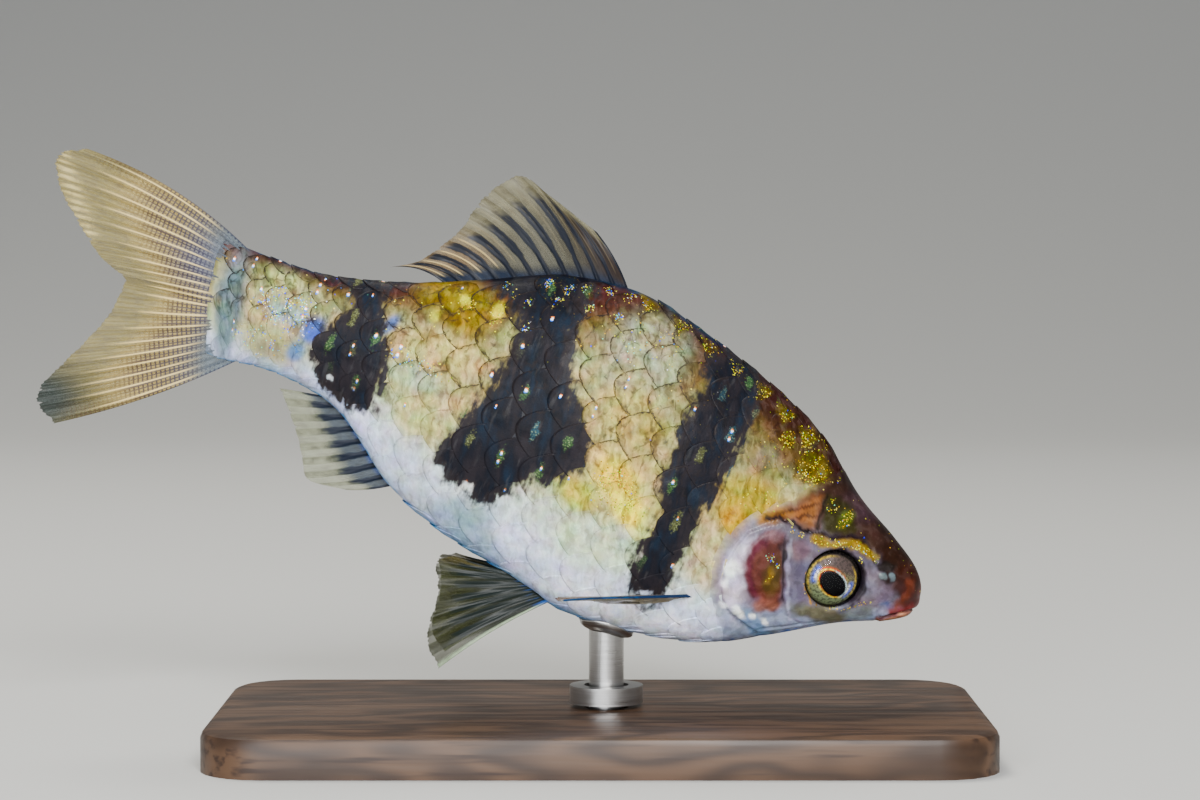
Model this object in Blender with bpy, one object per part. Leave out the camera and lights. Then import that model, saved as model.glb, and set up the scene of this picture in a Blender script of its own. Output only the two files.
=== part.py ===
"""Black ruby barb: a life-size still model of one fish, nose down as it feeds, on a low display stand.

The fish is drawn in its own frame, in millimetres: the snout tip is the origin, the tail runs back along -X,
the back is up +Z and the right flank is at -Y. An empty then noses it down and sets it over the stand.
"""

import math

import bmesh
import bpy
from mathutils import Matrix, Vector

MM = 0.001

# Driving sizes, in millimetres and degrees
BODY_LENGTH = 47.6  # snout to the rear edge of the tail stalk
GAP = 0.3  # kept between pieces that touch
BODY_STATIONS = 46
BODY_SIDES = 36
AHEAD = 4.0  # cutters reach past the body on every side: ahead of it, above, below and to its left and right
ABOVE = 13.0
BELOW = -12.0
WIDE = 9.0
NOSE_DOWN = 22.0
SNOUT_X = 20.2
SNOUT_Z = 9.85

# The body's side outline and half width: (distance behind the snout, height or half width)
BACK = [(0, -0.6), (0.9, 1.1), (3.0, 2.45), (6.2, 4.2), (9.3, 6.6), (13.7, 8.5), (18.5, 9.85),
        (23.8, 10.75), (28.5, 9.85), (33.0, 7.7), (38.0, 5.5), (42.5, 4.3), (47.6, 4.15)]
BELLY = [(0, -0.6), (0.5, -1.95), (1.6, -2.65), (4.6, -4.1), (8.0, -6.25), (11.5, -8.2), (16.0, -9.3),
         (20.6, -9.7), (25.0, -8.75), (30.0, -7.75), (33.0, -6.7), (38.9, -3.05), (42.0, -2.6), (47.6, -3.15)]
HALF_WIDTH = [(0, 0), (0.5, 1.15), (1.6, 1.9), (3.2, 2.5), (5.7, 3.1), (8.5, 3.7), (12.0, 4.3), (16.0, 4.75),
              (20.5, 4.85), (26.0, 4.4), (32.0, 3.35), (38.0, 2.1), (42.5, 1.4), (47.6, 0.85)]
# How narrow the section is towards the back: 1 is round, more is a ridge
BACK_RIDGE = [(0, 0.9), (6.0, 0.85), (14.0, 1.1), (24.0, 1.25), (36.0, 1.1), (47.6, 1.0)]
BELLY_FULLNESS = 0.85
WAIST_SHARE = 0.44  # the widest line, as a share of the depth up from the belly

# Lines of the side view that part the body, each from the back down: (x, z)
GILL_LINE = [(-10.9, 9.0), (-10.3, 6.0), (-10.1, 3.0), (-10.4, 0.9), (-11.4, -0.4), (-12.1, -1.7),
             (-12.3, -3.0), (-12.0, -4.3), (-11.0, -5.4), (-9.7, -6.4), (-9.0, -9.5)]
TAIL_LINE = [(-38.9, 8.0), (-39.4, 4.0), (-39.7, 1.0), (-39.5, -2.0), (-39.2, -5.0)]
TAIL_END = [(-47.0, 5.0), (-47.2, 3.0), (-46.8, 0.5), (-45.9, -2.0), (-45.3, -4.0)]
MOUTH_LINE = [(0.6, -1.0), (-0.1, -1.2), (-0.8, -1.55), (-1.4, -1.98), (-1.9, -2.45)]
MOUTH_SLIT = 0.18
UPPER_LIP = [(-0.2, -0.85), (-0.75, -1.25), (-1.3, -1.65), (-1.8, -2.1)]
LOWER_LIP = [(-0.5, -1.6), (-0.85, -1.9), (-1.35, -2.25), (-1.85, -2.55)]
LIP_RADIUS = 0.22
LIP_SUNK = 0.1
COVER_OUTLINE = [(-8.1, 0.2), (-9.5, 0.75), (-10.7, -0.15), (-11.7, -1.4), (-12.15, -2.9), (-11.8, -4.1),
                 (-10.8, -5.1), (-9.4, -5.6), (-8.2, -5.1), (-7.8, -3.5), (-7.75, -1.5)]
COVER_PROUD = 0.22
COVER_INSIDE = 0.5
COVER_FROM = 0.6  # from the midline out, as its recess is cut from the next
RECESS_FROM = 0.5
RECESS_OPEN = 1.2  # how far the recess runs on behind the cover
WIDEST_GILL = 10.65

# Eye and nostril, on the side of the head
EYE_X = -5.65
EYE_Z = -1.3
EYE_RADIUS = 1.85
EYE_HALF_DEPTH = 1.05
EYE_SUNK = 0.7
RIM_RADIUS = 0.26
RIM_POINTS = 28
RIM_OUTSIDE = 0.75  # of its radius, outside the socket
RIM_SUNK = 0.3  # of its radius, in the skin
NOSTRIL_X = -2.65
NOSTRIL_Z = 0.1
NOSTRIL_BUMP = (0.62, 0.5, 0.3)
NOSTRIL_PIT = (0.2, 0.3, 0.22)
NOSTRIL_PIT_RISE = 0.28
NOSTRIL_PIT_APART = 0.6

# Fins: half thickness of the membrane, how far the rays stand above it, and how far it is cut back between
# their tips
MEMBRANE = 0.25
MEMBRANE_TIP = 0.13
TIP_SHARE = 0.25  # of the length, over which the membrane thins to its tip
RAY_RIDGE = 0.13
RIDGE_LOSS = 0.7  # how much of its height a ray has lost at its tip
TIP_NOTCH = 0.035
FIN_ROWS = 9
ROOT_SUNK = 0.35

# Each fin: its rays, where its base lies, how its first and last rays are bowed, as a share of their length,
# and the tips of its rays from the front one back
DORSAL_RAYS = 12
DORSAL_BASE = (23.9, 36.6)
DORSAL_BOW = (0.05, 0.10)
DORSAL_TIPS = [(-27.3, 13.1), (-31.0, 14.15), (-33.0, 14.6), (-34.3, 13.2), (-34.9, 11.7), (-35.2, 10.2),
               (-36.0, 8.6), (-37.0, 7.2), (-38.4, 6.25)]
ANAL_RAYS = 9
ANAL_BASE = (33.0, 38.7)
ANAL_BOW = (-0.04, 0.0)
ANAL_TIPS = [(-35.8, -7.7), (-38.2, -8.0), (-39.1, -6.9), (-39.9, -5.7), (-40.9, -4.5), (-42.0, -3.35)]
TAIL_LOBE_RAYS = 10
TAIL_INSET = 0.35  # from the stalk's top and bottom to the outer rays
TAIL_UP_BOW = (0.06, 0.0)
TAIL_LOW_BOW = (0.0, -0.03)
TAIL_SWAY = -1.0
TAIL_UP_TIPS = [(-58.6, 6.05), (-60.1, 5.0), (-59.4, 3.4), (-57.9, 2.05), (-56.3, 0.75), (-54.9, 0.0),
                (-53.5, -0.5)]
TAIL_LOW_TIPS = [(-53.3, -0.95), (-53.5, -2.9), (-54.2, -5.0), (-55.1, -7.0), (-55.8, -8.7), (-55.5, -9.9),
                 (-54.2, -10.6)]
PELVIC_RAYS = 9
PELVIC_BASE = (21.2, 23.9)
PELVIC_BASE_Y = 1.15
PELVIC_BOW = (0.03, -0.02)
PELVIC_SPLAY = 0.42  # sideways reach for each millimetre below the belly
PELVIC_TIPS = [(-26.3, -15.4), (-27.5, -14.4), (-27.9, -13.1), (-28.0, -11.8), (-28.4, -10.6), (-28.9, -9.6),
               (-28.0, -8.9)]
PECTORAL_RAYS = 10
PECTORAL_BASE = ((-12.9, -5.4), (-14.0, -6.1))
PECTORAL_BOW = 0.03
PECTORAL_CURL = 0.25
PECTORAL_RIDGE = 0.1
PECTORAL_TIPS = [(-20.7, 8.1, -8.4), (-21.2, 7.3, -8.55), (-20.8, 6.6, -8.45), (-19.8, 6.0, -8.2),
                 (-18.6, 5.5, -7.9), (-17.2, 5.1, -7.5)]

# Stand
BASE_LENGTH = 48.0
BASE_DEPTH = 26.0
BASE_THICKNESS = 2.5
BASE_CORNER = 4.0
BASE_CHAMFER = 0.5
ROD_X = 0.4
ROD_RADIUS = 1.1
ROD_TOP = 16.0  # before it is cut to the belly
SOCKET_DEPTH = 1.5
COLLAR_RADIUS = 2.3
COLLAR_HEIGHT = 1.1

FISH_PARTS = "black_ruby_barb"


def clear_scene():
    for obj in list(bpy.data.objects):
        bpy.data.objects.remove(obj)
    made = bpy.data.collections.new(FISH_PARTS)
    bpy.context.scene.collection.children.link(made)


def smooth(points, x):
    """The value at x of a smooth curve through (distance, value) points.

    Distances count by their square root, so a curve leaves the snout steeply, as a blunt nose does."""
    knots = [math.sqrt(distance) for distance, _ in points]
    values = [value for _, value in points]
    at = math.sqrt(min(max(x, points[0][0]), points[-1][0]))
    last = len(knots) - 1
    low = max(k for k in range(last) if knots[k] <= at)

    def slope(k):
        if k in (0, last):
            near = min(k, last - 1)
            return (values[near + 1] - values[near]) / (knots[near + 1] - knots[near])
        before = knots[k] - knots[k - 1]
        after = knots[k + 1] - knots[k]
        rise_before = (values[k] - values[k - 1]) / before
        rise_after = (values[k + 1] - values[k]) / after
        return (after * rise_before + before * rise_after) / (before + after)

    span = knots[low + 1] - knots[low]
    s = (at - knots[low]) / span
    return (
        values[low] * (1 + 2 * s) * (1 - s) ** 2
        + slope(low) * span * s * (1 - s) ** 2
        + values[low + 1] * s * s * (3 - 2 * s)
        + slope(low + 1) * span * s * s * (s - 1)
    )


def along(points, t):
    """The point at share t of a smooth line through points of any number of coordinates."""
    last = len(points) - 1
    at = min(max(t, 0.0), 1.0) * last
    k = min(int(at), last - 1)
    s = at - k
    p0, p1, p2, p3 = (points[min(max(j, 0), last)] for j in (k - 1, k, k + 1, k + 2))
    return tuple(
        0.5 * (2 * b + (c - a) * s + (2 * a - 5 * b + 4 * c - d) * s * s + (3 * b - a - 3 * c + d) * s**3)
        for a, b, c, d in zip(p0, p1, p2, p3)
    )


def body_point(x, angle):
    """A point of the body's surface, x behind the snout. Angle 0 is the back, pi the belly, more the other side."""
    top, bottom = smooth(BACK, x), smooth(BELLY, x)
    waist = bottom + WAIST_SHARE * (top - bottom)
    rise, out = math.cos(angle), math.sin(angle)
    reach = top - waist if rise > 0 else waist - bottom
    power = smooth(BACK_RIDGE, x) if rise > 0 else BELLY_FULLNESS
    half = smooth(HALF_WIDTH, x) * abs(out) ** power
    return Vector((-x, math.copysign(half, out), waist + reach * rise))


def flank_angle(x, z):
    """The angle at which the left flank, x behind the snout, is at height z."""
    top, bottom = smooth(BACK, x), smooth(BELLY, x)
    waist = bottom + WAIST_SHARE * (top - bottom)
    reach = top - waist if z > waist else waist - bottom
    return math.acos(min(max((z - waist) / reach, -1.0), 1.0))


def body_normal(x, angle):
    step = 0.02
    forward = body_point(x - step, angle) - body_point(x + step, angle)
    around = body_point(x, angle + step) - body_point(x, angle - step)
    return forward.cross(around).normalized()


def lifted_point(x, angle, lift):
    return body_point(x, angle) + body_normal(x, angle) * lift


def new_object(name, mesh, fish=True):
    obj = bpy.data.objects.new(name, mesh)
    bpy.data.collections[FISH_PARTS].objects.link(obj)
    if fish:
        obj.parent = bpy.data.objects["nose_down"]
    return obj


def mesh_object(name, build, fish=True):
    """A new object from a bmesh in millimetres that the function build fills in."""
    bm = bmesh.new()
    build(bm)
    bmesh.ops.recalc_face_normals(bm, faces=bm.faces)
    bmesh.ops.transform(bm, matrix=Matrix.Scale(MM, 4), verts=bm.verts)
    mesh = bpy.data.meshes.new(name)
    bm.to_mesh(mesh)
    bm.free()
    return new_object(name, mesh, fish)


def evaluated_mesh(obj):
    bpy.context.view_layer.update()
    graph = bpy.context.evaluated_depsgraph_get()
    return bpy.data.meshes.new_from_object(obj.evaluated_get(graph), depsgraph=graph)


def boolean(target, tool, operation):
    """Joins, cuts or trims target with tool, which is then removed."""
    modifier = target.modifiers.new(operation.lower(), "BOOLEAN")
    modifier.operation = operation
    modifier.solver = "EXACT"
    modifier.object = tool
    mesh = evaluated_mesh(target)
    target.modifiers.clear()
    target.data = mesh
    bpy.data.objects.remove(tool)
    return target


def keep_largest(obj):
    """Leaves only the largest closed surface of a cut piece."""
    bm = bmesh.new()
    bm.from_mesh(obj.data)
    left = set(bm.verts)
    islands = []
    while left:
        island, edge = set(), [left.pop()]
        while edge:
            vert = edge.pop()
            island.add(vert)
            near = {e.other_vert(vert) for e in vert.link_edges} & left
            left -= near
            edge.extend(near)
        islands.append(island)
    islands.sort(key=lambda verts: max(v.co.x for v in verts) - min(v.co.x for v in verts))
    spare = [v for island in islands[:-1] for v in island]
    bmesh.ops.delete(bm, geom=spare, context="VERTS")
    bm.to_mesh(obj.data)
    bm.free()


def slab(name, outline, near, far):
    """A flat piece cut to an outline of the side view, which reaches from y = near to y = far."""
    curve = bpy.data.curves.new(name, "CURVE")
    curve.dimensions = "2D"
    curve.fill_mode = "BOTH"
    curve.extrude = abs(far - near) / 2 * MM
    spline = curve.splines.new("POLY")
    spline.points.add(len(outline) - 1)
    for point, (x, z) in zip(spline.points, outline):
        point.co = (x * MM, z * MM, 0, 1)
    spline.use_cyclic_u = True
    flat = new_object(name + "_curve", curve)
    mesh = evaluated_mesh(flat)
    bpy.data.objects.remove(flat)
    bm = bmesh.new()
    bm.from_mesh(mesh)
    bmesh.ops.remove_doubles(bm, verts=bm.verts, dist=1e-6)
    upright = Matrix.Translation((0, (near + far) / 2 * MM, 0)) @ Matrix.Rotation(math.pi / 2, 4, "X")
    bmesh.ops.transform(bm, matrix=upright, verts=bm.verts)
    bmesh.ops.recalc_face_normals(bm, faces=bm.faces)
    bm.to_mesh(mesh)
    bm.free()
    return new_object(name, mesh)


def line_points(points, count):
    return [along(points, i / (count - 1)) for i in range(count)]


def shifted(points, dx, dz=0.0):
    return [(x + dx, z + dz) for x, z in points]


def body_solid(name, inflate=0.0, slimmer=0.0):
    """The whole body, with its skin moved out by inflate, and its flanks in by slimmer at the gills."""

    def build(bm):
        rings = []
        for i in range(1, BODY_STATIONS + 1):
            x = BODY_LENGTH * (i / BODY_STATIONS) ** 1.5
            angles = (2 * math.pi * k / BODY_SIDES for k in range(BODY_SIDES))
            rings.append([bm.verts.new(body_point(x, angle)) for angle in angles])
        nose = bm.verts.new(body_point(0, 0))
        for k in range(BODY_SIDES):
            after = (k + 1) % BODY_SIDES
            bm.faces.new((nose, rings[0][k], rings[0][after]))
            for front, rear in zip(rings, rings[1:]):
                bm.faces.new((front[k], rear[k], rear[after], front[after]))
        bm.faces.new(rings[-1])
        bmesh.ops.recalc_face_normals(bm, faces=bm.faces)
        bm.normal_update()
        keep = 1 - slimmer / smooth(HALF_WIDTH, WIDEST_GILL)
        for vert in bm.verts:
            vert.co += vert.normal * inflate
            vert.co.y *= keep
        bmesh.ops.triangulate(bm, faces=bm.faces)

    return mesh_object(name, build)


def head_region():
    line = line_points(GILL_LINE, 25)
    return slab("head_region", [(AHEAD, line[0][1]), *line, (AHEAD, line[-1][1])], -WIDE, WIDE)


def torso_region():
    front = shifted(line_points(GILL_LINE, 25), -GAP)
    rear = line_points(TAIL_LINE, 9)
    outline = [(front[0][0], ABOVE), *front, (front[0][0], BELOW)]
    outline += [(rear[-1][0], BELOW), *reversed(rear), (rear[0][0], ABOVE)]
    return slab("torso_region", outline, -WIDE, WIDE)


def tail_region():
    front = shifted(line_points(TAIL_LINE, 9), -GAP)
    rear = line_points(TAIL_END, 9)
    return slab("tail_region", [*front, *reversed(rear)], -WIDE, WIDE)


def mouth_slit():
    """The closed mouth: a thin cut that runs round the snout from corner to corner."""
    upper = line_points(shifted(MOUTH_LINE, 0, MOUTH_SLIT / 2), 9)
    lower = line_points(shifted(MOUTH_LINE, 0, -MOUTH_SLIT / 2), 9)
    return slab("mouth_slit", [*upper, *reversed(lower)], -WIDE, WIDE)


def grown(outline, by):
    """An outline moved outwards by that much, away from its own middle line."""
    bigger = []
    count = len(outline)
    for k in range(count):
        (x0, z0), (x, z), (x1, z1) = outline[k - 1], outline[k], outline[(k + 1) % count]
        out = Vector((z1 - z0, x0 - x1)).normalized()
        bigger.append((x + out.x * by, z + out.y * by))
    return bigger


def cover_lines():
    """The gill cover's outline, and the recess's, which is wider by the gap and open behind."""
    outline = line_points([*COVER_OUTLINE, COVER_OUTLINE[0]], 34)[:-1]
    centre_x = sum(x for x, _ in outline) / len(outline)
    wider = grown(outline, GAP)
    if sum(x for x, _ in wider if x < centre_x) > sum(x for x, _ in outline if x < centre_x):
        wider = grown(outline, -GAP)
    recess = [(x - RECESS_OPEN if x < centre_x else x, z) for x, z in wider]
    return outline, recess


def eye_matrix(side):
    """Where the eye sits and faces: square to the side of the head. Side is 1 for left, -1 for right."""
    angle = flank_angle(-EYE_X, EYE_Z)
    out = body_normal(-EYE_X, angle)
    centre = body_point(-EYE_X, angle) - out * EYE_SUNK
    if side < 0:
        out.y, centre.y = -out.y, -centre.y
    turn = out.to_track_quat("Z", "X").to_matrix().to_4x4()
    return Matrix.Translation(centre) @ turn


def eyeball(name, side, grow=0.0, segments=24):
    def build(bm):
        bmesh.ops.create_uvsphere(bm, u_segments=segments, v_segments=segments // 2, radius=1.0)
        wide = EYE_RADIUS + grow
        deep = EYE_HALF_DEPTH + grow
        size = Matrix.Diagonal((wide, wide, deep, 1))
        bmesh.ops.transform(bm, matrix=eye_matrix(side) @ size, verts=bm.verts)

    return mesh_object(name, build)


def tube(name, points, radius, sides=8, closed=False):
    """A round rod along points, in millimetres, with its caps welded on."""
    curve = bpy.data.curves.new(name, "CURVE")
    curve.dimensions = "3D"
    curve.bevel_depth = radius * MM
    curve.bevel_resolution = sides // 2 - 2
    curve.use_fill_caps = True
    spline = curve.splines.new("POLY")
    spline.points.add(len(points) - 1)
    for node, point in zip(spline.points, points):
        node.co = (point[0] * MM, point[1] * MM, point[2] * MM, 1)
    spline.use_cyclic_u = closed
    rod = new_object(name + "_curve", curve)
    mesh = evaluated_mesh(rod)
    bpy.data.objects.remove(rod)
    bm = bmesh.new()
    bm.from_mesh(mesh)
    bmesh.ops.remove_doubles(bm, verts=bm.verts, dist=1e-6)
    bmesh.ops.recalc_face_normals(bm, faces=bm.faces)
    bm.to_mesh(mesh)
    bm.free()
    return new_object(name, mesh)


def orbit_rim(side):
    """The low rim of skin round the eye."""
    place = eye_matrix(side)
    around = EYE_RADIUS + GAP + RIM_OUTSIDE * RIM_RADIUS
    ring = []
    for k in range(RIM_POINTS):
        turn = 2 * math.pi * k / RIM_POINTS
        point = place @ Vector((around * math.cos(turn), around * math.sin(turn), 0))
        angle = flank_angle(-point.x, point.z)
        skin = body_point(-point.x, angle)
        ring.append((point.x, math.copysign(skin.y - RIM_SUNK * RIM_RADIUS, side), point.z))
    return tube("rim", ring, RIM_RADIUS, closed=True)


def lip(name, line):
    """One lip, from one corner of the mouth round the snout to the other."""
    flank = []
    for x, z in reversed(line_points(line, 8)):
        skin = lifted_point(-x, flank_angle(-x, z), -LIP_SUNK)
        flank.append((skin.x, skin.y, skin.z))
    return tube(name, [*flank, *[(x, -y, z) for x, y, z in reversed(flank)]], LIP_RADIUS)


def nostril(side):
    """A low bump with two openings, the front one in a raised rim."""
    angle = flank_angle(-NOSTRIL_X, NOSTRIL_Z)
    out = body_normal(-NOSTRIL_X, angle)
    place = body_point(-NOSTRIL_X, angle)
    if side < 0:
        out.y, place.y = -out.y, -place.y
    turn = out.to_track_quat("Z", "Y").to_matrix().to_4x4()
    frame = Matrix.Translation(place) @ turn

    def ball(name, offset, radii):
        def build(bm):
            bmesh.ops.create_uvsphere(bm, u_segments=12, v_segments=8, radius=1.0)
            size = Matrix.Diagonal((*radii, 1))
            bmesh.ops.transform(bm, matrix=frame @ Matrix.Translation(offset) @ size, verts=bm.verts)

        return mesh_object(name, build)

    bump = ball("nostril_bump", (0, 0, 0), NOSTRIL_BUMP)
    shifts = (-NOSTRIL_PIT_APART / 2, NOSTRIL_PIT_APART / 2)
    pits = [ball("nostril_pit", (shift, 0, NOSTRIL_PIT_RISE), NOSTRIL_PIT) for shift in shifts]
    return bump, pits


def make_head():
    head = boolean(body_solid("head"), head_region(), "INTERSECT")
    for side in (1, -1):
        boolean(head, orbit_rim(side), "UNION")
        bump, pits = nostril(side)
        boolean(head, bump, "UNION")
        for pit in pits:
            boolean(head, pit, "DIFFERENCE")
    boolean(head, lip("upper_lip", UPPER_LIP), "UNION")
    boolean(head, lip("lower_lip", LOWER_LIP), "UNION")
    boolean(head, mouth_slit(), "DIFFERENCE")
    _, recess = cover_lines()
    for side in (1, -1):
        boolean(head, eyeball("socket", side, GAP), "DIFFERENCE")
        cut = slab("recess", recess, side * RECESS_FROM, side * WIDE)
        boolean(cut, body_solid("recess_floor", slimmer=COVER_INSIDE + GAP), "DIFFERENCE")
        boolean(head, cut, "DIFFERENCE")
    keep_largest(head)
    return head


def make_gill_covers():
    outline, _ = cover_lines()
    covers = []
    for name, side in (("gill_cover_left", 1), ("gill_cover_right", -1)):
        cover = body_solid(name, COVER_PROUD)
        boolean(cover, slab("cover_region", outline, side * COVER_FROM, side * WIDE), "INTERSECT")
        boolean(cover, body_solid("cover_inside", slimmer=COVER_INSIDE), "DIFFERENCE")
        keep_largest(cover)
        covers.append(cover)
    return covers


def fin(name, roots, tips, bows, normal, sway=0.0, ridge=RAY_RIDGE):
    """A membrane stretched over rays, with each ray a ridge on both faces.

    Ray k grows from roots[k] to tips[k], bowed by bows[k] of its length in the plane of the fin; the whole
    sheet curls along its normal by sway at the tips."""
    normal = normal.normalized()
    columns = 2 * len(roots) - 1

    def between(values, t):
        k = min(int(t), len(values) - 2)
        return values[k] + (values[k + 1] - values[k]) * (t - k)

    def build(bm):
        sheets = ([], [])
        for c in range(columns):
            t = c / 2
            on_ray = c % 2 == 0
            root, tip = between(roots, t), between(tips, t)
            if not on_ray:
                tip = tip - (tip - root) * TIP_NOTCH
            ray = tip - root
            across = normal.cross(ray)
            for sheet in sheets:
                sheet.append([])
            for j in range(FIN_ROWS):
                s = j / (FIN_ROWS - 1)
                taper = min(1.0, (1 - s) / TIP_SHARE)
                half = MEMBRANE_TIP + (MEMBRANE - MEMBRANE_TIP) * taper
                if on_ray:
                    half += ridge * (1 - RIDGE_LOSS * s)
                bow = across * (4 * s * (1 - s) * between(bows, t))
                middle = root + ray * s + bow + normal * (sway * s * s)
                sheets[0][c].append(bm.verts.new(middle + normal * half))
                sheets[1][c].append(bm.verts.new(middle - normal * half))
        near, far = sheets

        def quad(a, b, c, d):
            bm.faces.new((a, b, c))
            bm.faces.new((a, c, d))

        for c in range(columns - 1):
            for j in range(FIN_ROWS - 1):
                quad(near[c][j], near[c + 1][j], near[c + 1][j + 1], near[c][j + 1])
                quad(far[c][j], far[c + 1][j], far[c + 1][j + 1], far[c][j + 1])
            for j in (0, FIN_ROWS - 1):
                quad(near[c][j], near[c + 1][j], far[c + 1][j], far[c][j])
        for c in (0, columns - 1):
            for j in range(FIN_ROWS - 1):
                quad(near[c][j], near[c][j + 1], far[c][j + 1], far[c][j])

    return mesh_object(name, build)


def clear_of_body(obj):
    """Cuts a fin's root to the shape of the body, with the gap left between them."""
    boolean(obj, body_solid("root_cut", GAP), "DIFFERENCE")
    keep_largest(obj)


def spread(low, high, count):
    return [low + (high - low) * k / (count - 1) for k in range(count)]


def make_dorsal_fin():
    roots = [
        Vector((-x, 0, smooth(BACK, x) - ROOT_SUNK))
        for x in spread(*DORSAL_BASE, DORSAL_RAYS)
    ]
    tips = [Vector((x, 0, z)) for x, z in line_points(DORSAL_TIPS, DORSAL_RAYS)]
    bows = spread(*DORSAL_BOW, DORSAL_RAYS)
    clear_of_body(fin("dorsal_fin", roots, tips, bows, Vector((0, 1, 0))))


def make_anal_fin():
    roots = [
        Vector((-x, 0, smooth(BELLY, x) + ROOT_SUNK))
        for x in spread(*ANAL_BASE, ANAL_RAYS)
    ]
    tips = [Vector((x, 0, z)) for x, z in line_points(ANAL_TIPS, ANAL_RAYS)]
    bows = spread(*ANAL_BOW, ANAL_RAYS)
    clear_of_body(fin("anal_fin", roots, tips, bows, Vector((0, 1, 0))))


def make_tail_fin():
    """The two lobes of the tail fin, parted where the fork begins."""
    root_line = shifted(line_points(TAIL_END, 41), -GAP)
    stalk_top = smooth(BACK, BODY_LENGTH) - TAIL_INSET
    stalk_low = smooth(BELLY, BODY_LENGTH) + TAIL_INSET
    held = [(x, z) for x, z in root_line if stalk_low < z < stalk_top]
    middle = len(held) // 2
    up_roots = [Vector((x, 0, z)) for x, z in line_points(held[:middle], TAIL_LOBE_RAYS)]
    low_roots = [Vector((x, 0, z)) for x, z in line_points(held[middle:], TAIL_LOBE_RAYS)]
    up_tips = [Vector((x, 0, z)) for x, z in line_points(TAIL_UP_TIPS, TAIL_LOBE_RAYS)]
    low_tips = [Vector((x, 0, z)) for x, z in line_points(TAIL_LOW_TIPS, TAIL_LOBE_RAYS)]
    out = Vector((0, 1, 0))
    fin("caudal_fin_upper", up_roots, up_tips, spread(*TAIL_UP_BOW, TAIL_LOBE_RAYS), out, TAIL_SWAY)
    fin("caudal_fin_lower", low_roots, low_tips, spread(*TAIL_LOW_BOW, TAIL_LOBE_RAYS), out, TAIL_SWAY)


def make_pelvic_fins():
    for name, side in (("pelvic_fin_left", 1), ("pelvic_fin_right", -1)):
        roots = []
        for x in spread(*PELVIC_BASE, PELVIC_RAYS):
            ratio = (PELVIC_BASE_Y / smooth(HALF_WIDTH, x)) ** (1 / BELLY_FULLNESS)
            angle = math.pi - math.asin(ratio)
            point = lifted_point(x, angle, -ROOT_SUNK)
            roots.append(Vector((point.x, point.y * side, point.z)))
        tips = []
        for root, (x, z) in zip(roots, line_points(PELVIC_TIPS, PELVIC_RAYS)):
            tips.append(Vector((x, root.y + side * (root.z - z) * PELVIC_SPLAY, z)))
        face = Vector((0, 1, side * PELVIC_SPLAY))
        clear_of_body(fin(name, roots, tips, spread(*PELVIC_BOW, PELVIC_RAYS), face))


def make_pectoral_fins():
    for name, side in (("pectoral_fin_left", 1), ("pectoral_fin_right", -1)):
        roots = []
        for x, z in line_points(PECTORAL_BASE, PECTORAL_RAYS):
            point = lifted_point(-x, flank_angle(-x, z), -ROOT_SUNK)
            roots.append(Vector((point.x, point.y * side, point.z)))
        tips = [Vector((x, y * side, z)) for x, y, z in line_points(PECTORAL_TIPS, PECTORAL_RAYS)]
        blade = (tips[0] - roots[0]).cross(tips[-1] - roots[0])
        bows = spread(-PECTORAL_BOW * side, 0.0, PECTORAL_RAYS)
        clear_of_body(fin(name, roots, tips, bows, blade * side, PECTORAL_CURL, PECTORAL_RIDGE))


def make_stand():
    """A flat base and one short rod that holds the fish under its belly."""

    def block(bm):
        bmesh.ops.create_cube(bm, size=1.0)
        size = Matrix.Diagonal((BASE_LENGTH, BASE_DEPTH, BASE_THICKNESS, 1))
        lift = Matrix.Translation((0, 0, BASE_THICKNESS / 2))
        bmesh.ops.transform(bm, matrix=lift @ size, verts=bm.verts)
        upright = [e for e in bm.edges if abs(e.verts[0].co.z - e.verts[1].co.z) > 1]
        bmesh.ops.bevel(bm, geom=upright, offset=BASE_CORNER, segments=6, affect="EDGES", profile=0.5)
        rim = [e for e in bm.edges if min(v.co.z for v in e.verts) > BASE_THICKNESS - 0.01]
        bmesh.ops.bevel(bm, geom=rim, offset=BASE_CHAMFER, segments=2, affect="EDGES", profile=0.5)

    def post(low, high, radius, sides=24):
        def build(bm):
            bmesh.ops.create_cone(
                bm, cap_ends=True, segments=sides, radius1=radius, radius2=radius, depth=high - low
            )
            bmesh.ops.translate(bm, vec=(ROD_X, 0, (low + high) / 2), verts=bm.verts)

        return build

    base = mesh_object("stand_base", block, fish=False)
    hole_floor = BASE_THICKNESS - SOCKET_DEPTH
    hole = mesh_object("socket_hole", post(hole_floor, BASE_THICKNESS + 2, ROD_RADIUS + GAP), fish=False)
    boolean(base, hole, "DIFFERENCE")
    rod = mesh_object("stand_rod", post(hole_floor + GAP, ROD_TOP, ROD_RADIUS), fish=False)
    boolean(rod, body_solid("belly_seat", GAP), "DIFFERENCE")
    keep_lowest(rod)
    low = BASE_THICKNESS + GAP
    collar = mesh_object("stand_collar", post(low, low + COLLAR_HEIGHT, COLLAR_RADIUS), fish=False)
    bore = mesh_object("collar_bore", post(low - 1, low + COLLAR_HEIGHT + 1, ROD_RADIUS + GAP), fish=False)
    boolean(collar, bore, "DIFFERENCE")


def keep_lowest(obj):
    """Drops what a cut leaves above the fish's belly."""
    bm = bmesh.new()
    bm.from_mesh(obj.data)
    low = min(bm.verts, key=lambda v: v.co.z)
    held, edge = {low}, [low]
    while edge:
        vert = edge.pop()
        near = {e.other_vert(vert) for e in vert.link_edges} - held
        held |= near
        edge.extend(near)
    bmesh.ops.delete(bm, geom=[v for v in bm.verts if v not in held], context="VERTS")
    bm.to_mesh(obj.data)
    bm.free()


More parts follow.
